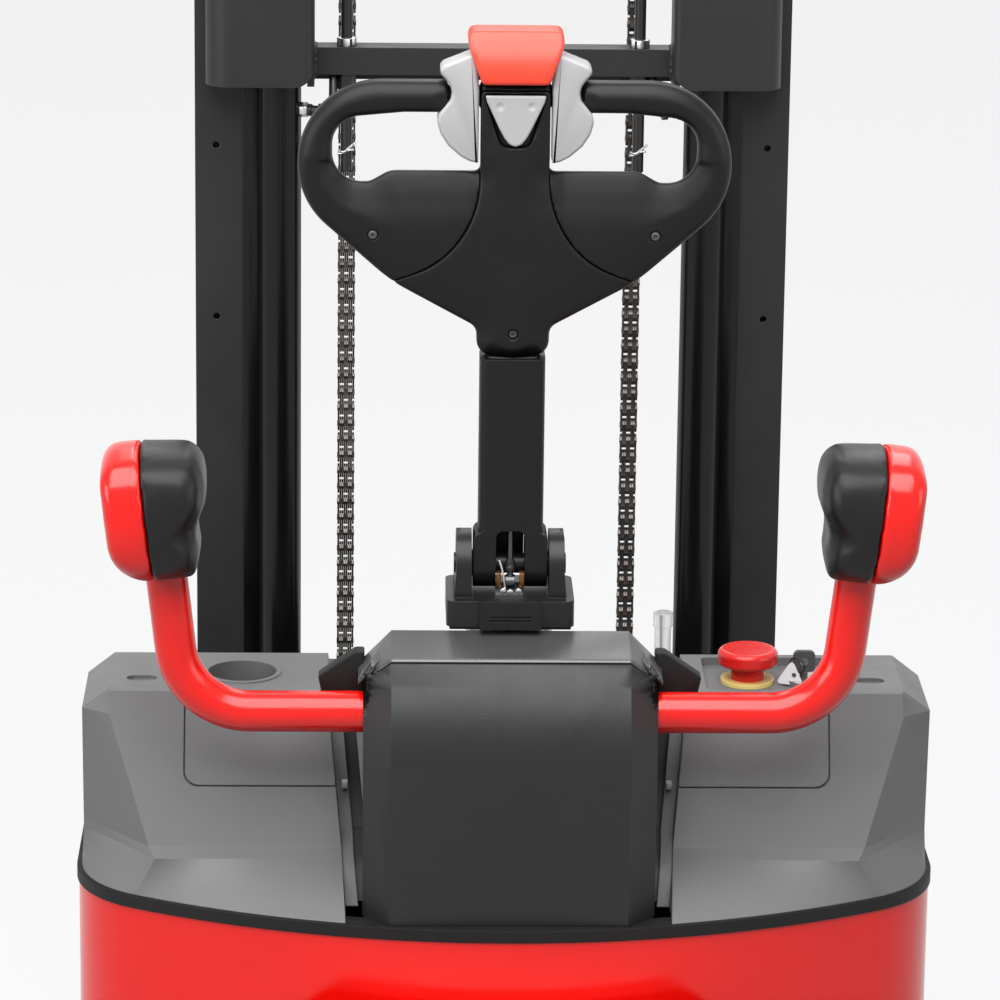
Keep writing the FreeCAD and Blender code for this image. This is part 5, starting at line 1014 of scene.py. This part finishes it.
LINKS = (chain_link((0, 3, 4, 7), "outer_link"), chain_link((1, 2, 5, 6), "inner_link"))
print("faces per link:", [len(link.polygons) for link in LINKS])

# %% [markdown]
# ## Leaf chain: runs
# Copies of the two links follow each other along the runs: a straight one behind each sheave,
# another in front, and eight links over its top. Copying finished links costs far less time than
# building every plate again.

# %% Runs
CHAIN_X = 166
SHEAVE = (1108.5, 1940)
PITCH_RADIUS = 48.5
WRAP_LINKS = 8


def lay(bm, link, matrix):
    """Adds one link to a run."""
    before = len(bm.verts)
    bm.from_mesh(link)
    bm.verts.ensure_lookup_table()
    bmesh.ops.transform(bm, matrix=matrix, verts=bm.verts[before:])


def straight_run(y, low, links):
    """Links hung from the sheave's level down to a height, on both sides of the mast."""
    bm = bmesh.new()
    for x in (-CHAIN_X, CHAIN_X):
        for index in range(int((SHEAVE[1] - low) / PITCH)):
            place = spot(x, y, SHEAVE[1] - (index + 0.5) * PITCH)
            lay(bm, links[index % 2], Matrix.Translation(place))
    return bm


def wrapped_run(links):
    """Links over the top of each sheave."""
    bm = bmesh.new()
    reach = PITCH_RADIUS * math.cos(math.pi / (2 * WRAP_LINKS))
    for x in (-CHAIN_X, CHAIN_X):
        for index in range(WRAP_LINKS):
            angle = math.pi * (index + 0.5) / WRAP_LINKS
            turn = Matrix.Rotation(-angle, 4, "X")
            place = spot(x, SHEAVE[0] - reach * math.cos(angle),
                         SHEAVE[1] + reach * math.sin(angle))
            lay(bm, links[index % 2], Matrix.Translation(place) @ turn)
    return bm


print("links over a sheave:", WRAP_LINKS)

# %% [markdown]
# ## Leaf chain: pieces
# The front run gets a mesh of its own and rides, with the wrap over the sheaves, on the inner
# mast. The rear run is a piece of its own, its place baked into the mesh. A real chain pays out
# round the sheave.

# %% Hang the chains
front_low = 262
front_run = straight_run(SHEAVE[0] + PITCH_RADIUS, front_low, LINKS)
chain_front = keep(front_run, "leaf_chain_front", CHAIN_STEEL, "inner_mast")
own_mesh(chain_front)
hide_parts("chains_front")
keep(wrapped_run(LINKS), "leaf_chain_wrap", CHAIN_STEEL, "inner_mast")
rear_run = straight_run(SHEAVE[0] - PITCH_RADIUS, 1396, LINKS[::-1])
chain_rear = made_piece(rear_run, "leaf_chain_rear", CHAIN_STEEL)
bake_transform(chain_rear)
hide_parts("chains_rear")

# %% [markdown]
# ## Anchor rods: nuts and split pins
# Threaded rods carry the chains through the cross beam. Zinc nuts show bright on it, and a split
# pin, here two bent bars, crosses each rod near its lower end.

# %% Nuts and split pins
WIRE = 1.3
LEGS = [[(-9, 1052, 1164), (-4, 1053, 1160), (3, 1053, 1167), (10, 1051, 1173)],
        [(-10, 1053, 1160), (-4, 1054, 1159), (3, 1053, 1165), (8, 1050, 1165)]]
nuts = []
pins = []
for rod in (-CHAIN_X, CHAIN_X):
    nuts.append(put(hexagon(11.6, 9.6), spot(rod, 1060, 1283)))
    pins += [bent_bar(WIRE, [(rod + x, y, z) for x, y, z in leg]) for leg in LEGS]
keep(joined(nuts), "beam_nuts", ZINC, "chassis")
keep(joined(pins), "split_pins", ZINC, "chassis")

# %% [markdown]
# ## Screws of the tiller head
# Three black socket screws sit deep in round recesses of the head. At this size six flats in the
# socket would not show, so the whole screw is turned. They wear the key's lighter grey as painted
# highlight, for the light that their rims catch.

# %% Head screws
SCREW = [(0, 0.6), (1.9, 0.6), (1.9, 2.6), (3.2, 2.6), (3.9, 2.2), (4.3, 1.2), (4.3, -0.6),
         (0, -0.6)]
SCREW_PLACES = [(-135, 1269), (135, 1269), (0, 1172.5)]
screws = [put(turned(SCREW), spot(x, 137.4, z), (0, -1, 0)) for x, z in SCREW_PLACES]
# Lighter grey on black screws: painted highlight for the light on their rims.
keep(joined(screws), "head_screws", KEY_GREY, "tiller")

# %% [markdown]
# ## Inside the tiller's fork
# Behind the slot of the tiller's foot the photograph shows bronze pads, a wire spring, a ferrule
# on the gas spring's rod and bright nuts. They stay inside the round clearance of the pivot, so
# the tiller can tilt past them. Dark plates back the slot, close the base from below, and close
# the gap beside the lift cylinders, where white would show through.

# %% Fork mechanism and dark plates
FERRULE = [(3.1, 0), (5.2, 0), (5.6, 1), (5.6, 5), (4.6, 6), (4.6, 11), (3.1, 12)]
SPRING_WIRE = [(-11, 124, 950), (-8.5, 122, 944), (-6, 121, 930), (-5, 122, 921)]
NUT_PLACES = [(-7, 920), (0, 919), (8, 920)]
ROD_FOOT, ROD_HEAD = spot(0, 133, 926), spot(0, 150, 1108)
pads = [block((x, 127, 930), (4.5, 10, 15), 0.8) for x in (-11.2, 11.2)]
keep(joined(pads), "bronze_pads", BRONZE, "steering")
strips = [block((sign * 273.6, 1061.1, 835), (20.8, 3.4, 810), 0.8) for sign in (-1, 1)]
keep(joined(strips), "mast_strips", GLOSS_BLACK, "chassis")
keep(block((0, 168, 952), (27.2, 4, 50), 0.6), "slot_back", RUBBER, "tiller")
keep(block((0, 150, 886.7), (118, 86, 3.8), 1), "base_skirt", RUBBER, "steering")
bright = [put(hexagon(3.2, 4, 0.4), spot(x, 122, z), (0, -1, 0)) for x, z in NUT_PLACES]
bright.append(bent_bar(0.9, SPRING_WIRE))
keep(joined(bright), "fork_nuts", ZINC, "steering")
axis = (ROD_HEAD - ROD_FOOT).normalized()
ferrule = put(turned(FERRULE), ROD_FOOT + axis * 0.010, axis)
keep(ferrule, "spring_ferrule", BLACK_OXIDE, "tiller")

# %% [markdown]
# ## Studs on the platform
# The platform's mat has rows of round studs for grip: short tapered cones with few sides,
# because there are hundreds. They ride with the platform when it folds.

# %% Mat studs
STUD_GAP = 0.024
STUD_FOOT, STUD_TOP, STUD_HEIGHT, STUD_OUT = 0.0046, 0.003, 0.002, 0.0008
low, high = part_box("platform_mat")
studs = []
across = int((high.x - low.x) / STUD_GAP)
upward = int((high.z - low.z) / STUD_GAP)
for column in range(1, across):
    for row in range(1, upward):
        stud = fresh(bmesh.ops.create_cone, cap_ends=True, segments=8, radius1=STUD_FOOT,
                     radius2=STUD_TOP, depth=STUD_HEIGHT)
        place = Vector((low.x + column * (high.x - low.x) / across, high.y + STUD_OUT,
                        low.z + row * (high.z - low.z) / upward))
        studs.append(put(stud, place, (0, 1, 0)))
print("studs:", len(studs))
keep(joined(studs), "mat_studs", RUBBER, "platform")

# %% [markdown]
# ## Key ring and tag
# A pressed tag hangs from the key and leans in the tray: a thin triangular plate with rounded
# corners, a raised middle and a dark eyelet. A wire ring, a small circle spun about an axis
# beside it, joins it to the key.

# %% Tag and ring
TAG_PLACE, TAG_FACES = spot(284, 226, 801), (-0.25, -1, 0.42)
EYELET = [(0, 0.0003), (2.1, 0.0003), (2.1, 1.1), (0, 1.1)]
tag = fresh(bmesh.ops.create_circle, cap_ends=True, radius=0.017, segments=3)
soften(tag, tag.verts[:], 6, 4, "VERTICES")
bmesh.ops.inset_region(tag, faces=tag.faces[:], thickness=0.0011, depth=0, use_even_offset=True)
middle = max(tag.faces, key=lambda face: face.calc_area())
bmesh.ops.translate(tag, verts=middle.verts[:], vec=(0, 0, 0.0006))
bmesh.ops.solidify(tag, geom=tag.faces[:], thickness=0.0014)
outward(tag)
rotate(tag, 118, "Z")
put(tag, TAG_PLACE, TAG_FACES)
eyelet = turned(EYELET, 12)
bmesh.ops.translate(eyelet, verts=eyelet.verts, vec=(0.0035, 0.0015, 0.0006))
put(eyelet, TAG_PLACE, TAG_FACES)
ring = fresh(bmesh.ops.create_circle, radius=0.0008, segments=8)
rotate(ring, 90, "X")
bmesh.ops.translate(ring, verts=ring.verts, vec=(0.0085, 0, 0))
put(spun(ring, ring.edges[:], 28), spot(291, 231, 811), (0.5, 0.7, 0.2))
keep(tag, "key_tag", TAG_GREY, "key")
keep(joined([ring, eyelet]), "key_ring", BLACK_OXIDE, "key")

# %% [markdown]
# ## Channels beside the centre cover
# Between each side cover and the centre cover runs a channel. Its floor is a grey strip that
# follows the cover's slope, and a dark inner wall closes the gap: each is a row of points
# extruded sideways and thickened. A small grey catch sits in each channel.

# %% Channel floors, inner walls and catches
SLOPE = [(62, 612), (78, 640), (100, 655), (124, 668), (183, 790), (200, 798)]
COVER_EDGE = [158, 161, 163, 164, 177, 178]
STRIP_WIDTH, STRIP_THICK = 16, 0.003


def channel_strip(sign, set_back, outer_over):
    """A strip down the slope, set back from the cover's face."""
    bm = bmesh.new()
    line = row_of(bm, [spot(sign * (x + outer_over), y + set_back, z)
                       for (y, z), x in zip(SLOPE, COVER_EDGE)])[1]
    far = moved_copy(bmesh.ops.extrude_edge_only(bm, edges=line))
    bmesh.ops.translate(bm, verts=far, vec=(-sign * STRIP_WIDTH / 1000, 0, 0))
    outward(bm)
    bmesh.ops.solidify(bm, geom=bm.faces[:], thickness=STRIP_THICK)
    outward(bm)
    return bm


floors = joined([channel_strip(sign, 12, 4) for sign in (-1, 1)])
keep(floors, "channel_floors", GREY, "chassis")
inner_walls = joined([channel_strip(sign, 26, -8) for sign in (-1, 1)])
keep(inner_walls, "channel_walls", CHARCOAL, "chassis")
catches = joined([block((x, 150, 712), (6, 10, 7), 1.0) for x in (-160, 160)])
keep(catches, "cover_catches", LIGHT_GREY, "chassis")

# %% [markdown]
# ## Weld beads
# The cross beam is welded between two bent brackets. A bead is a row of overlapping icospheres,
# each a little off the line, which gives the rippled look of a hand weld.

# %% Beads on the beam
BEAM_END = 202
BEAM_LOWS = (1251.5, 1560)


def weld_bead(start, end, radius):
    """Overlapping drops from one point to another, in millimetres."""
    a, b = spot(*start), spot(*end)
    count = max(2, round((b - a).length * 1000 / (radius * 0.8)))
    drops = []
    for index in range(count + 1):
        drop = fresh(bmesh.ops.create_icosphere, subdivisions=2, radius=radius / 1000)
        wander = Vector((math.sin(index * 2.4), math.cos(index * 1.7), 0)) * radius / 8000
        drops.append(put(drop, a.lerp(b, index / count) + wander))
    return drops


beads = []
for x in (-BEAM_END, BEAM_END):
    for low in BEAM_LOWS:
        beads += weld_bead((x, 1048, low + 1), (x, 1048, low + 30), 3.4)
        beads += weld_bead((x, 1049, low + 31.5), (x, 1070, low + 31.5), 3.0)
keep(joined(beads), "weld_beads", MAST, "chassis")

# %% [markdown]
# ## Lift hydraulics
# Each lift cylinder is fed through a hexagon body, an elbow and a short pipe that goes up behind
# the cross beam. The pipe is a smooth curve with a round section, so a few points lead it.

# %% Fittings and pipes
PORT_X, PORT_Z = 241, 1212
FITTING = [(0, 0), (7, 0), (7, 6), (5.5, 7), (5.5, 14), (8, 14.5), (8, 20), (0, 20)]
PIPE = [(46, 1040, 1212), (58, 1039, 1212), (60, 1042, 1222), (60, 1056, 1240), (60, 1066, 1262)]
steel_bits = []
dark_bits = []
for sign in (-1, 1):
    x = sign * PORT_X
    inward = (-sign, -0.25, 0)
    steel_bits.append(put(hexagon(9, 9), spot(x - sign * 23, 1046, PORT_Z), inward))
    dark_bits.append(put(turned(FITTING), spot(x - sign * 30, 1044, PORT_Z), inward))
    dark_bits.append(bent_bar(5.0, [(x - sign * reach, y, z) for reach, y, z in PIPE]))
keep(joined(steel_bits), "port_nuts", ZINC, "chassis")
keep(joined(dark_bits), "lift_pipes", BLACK_OXIDE, "chassis")

# %% [markdown]
# ## Wheel bolts and hub caps
# The load wheels carry five bolts and a domed cap. They ride on their wheels; without them a
# turning wheel would look as if it stood still.

# %% Bolts on the load wheels
CAP = [(0, 5), (12, 4.6), (19, 3), (22, 0), (22, -1), (0, -1)]
AXLE_Y, AXLE_Z = 1018, 115
HUB_FACE, CAP_FACE, BOLT_CIRCLE, BOLTS = 403, 422.4, 55, 5
for side, sign in SIDES:
    facing = (sign, 0, 0)
    bits = [put(turned(CAP, 32), spot(sign * CAP_FACE, AXLE_Y, AXLE_Z), facing)]
    for index in range(BOLTS):
        angle = 2 * math.pi * (index + 0.25) / BOLTS
        place = spot(sign * HUB_FACE, AXLE_Y + BOLT_CIRCLE * math.cos(angle),
                     AXLE_Z + BOLT_CIRCLE * math.sin(angle))
        bits.append(put(hexagon(9, 8), place, facing))
    keep(joined(bits), "wheel_bolts_" + side, ZINC, "load_wheel_" + side)

# %% [markdown]
# ## View settings
# The view transform is set to Standard, and the view layer is updated.

# %% View settings
scene.view_settings.view_transform = "Standard"
bpy.context.view_layer.update()
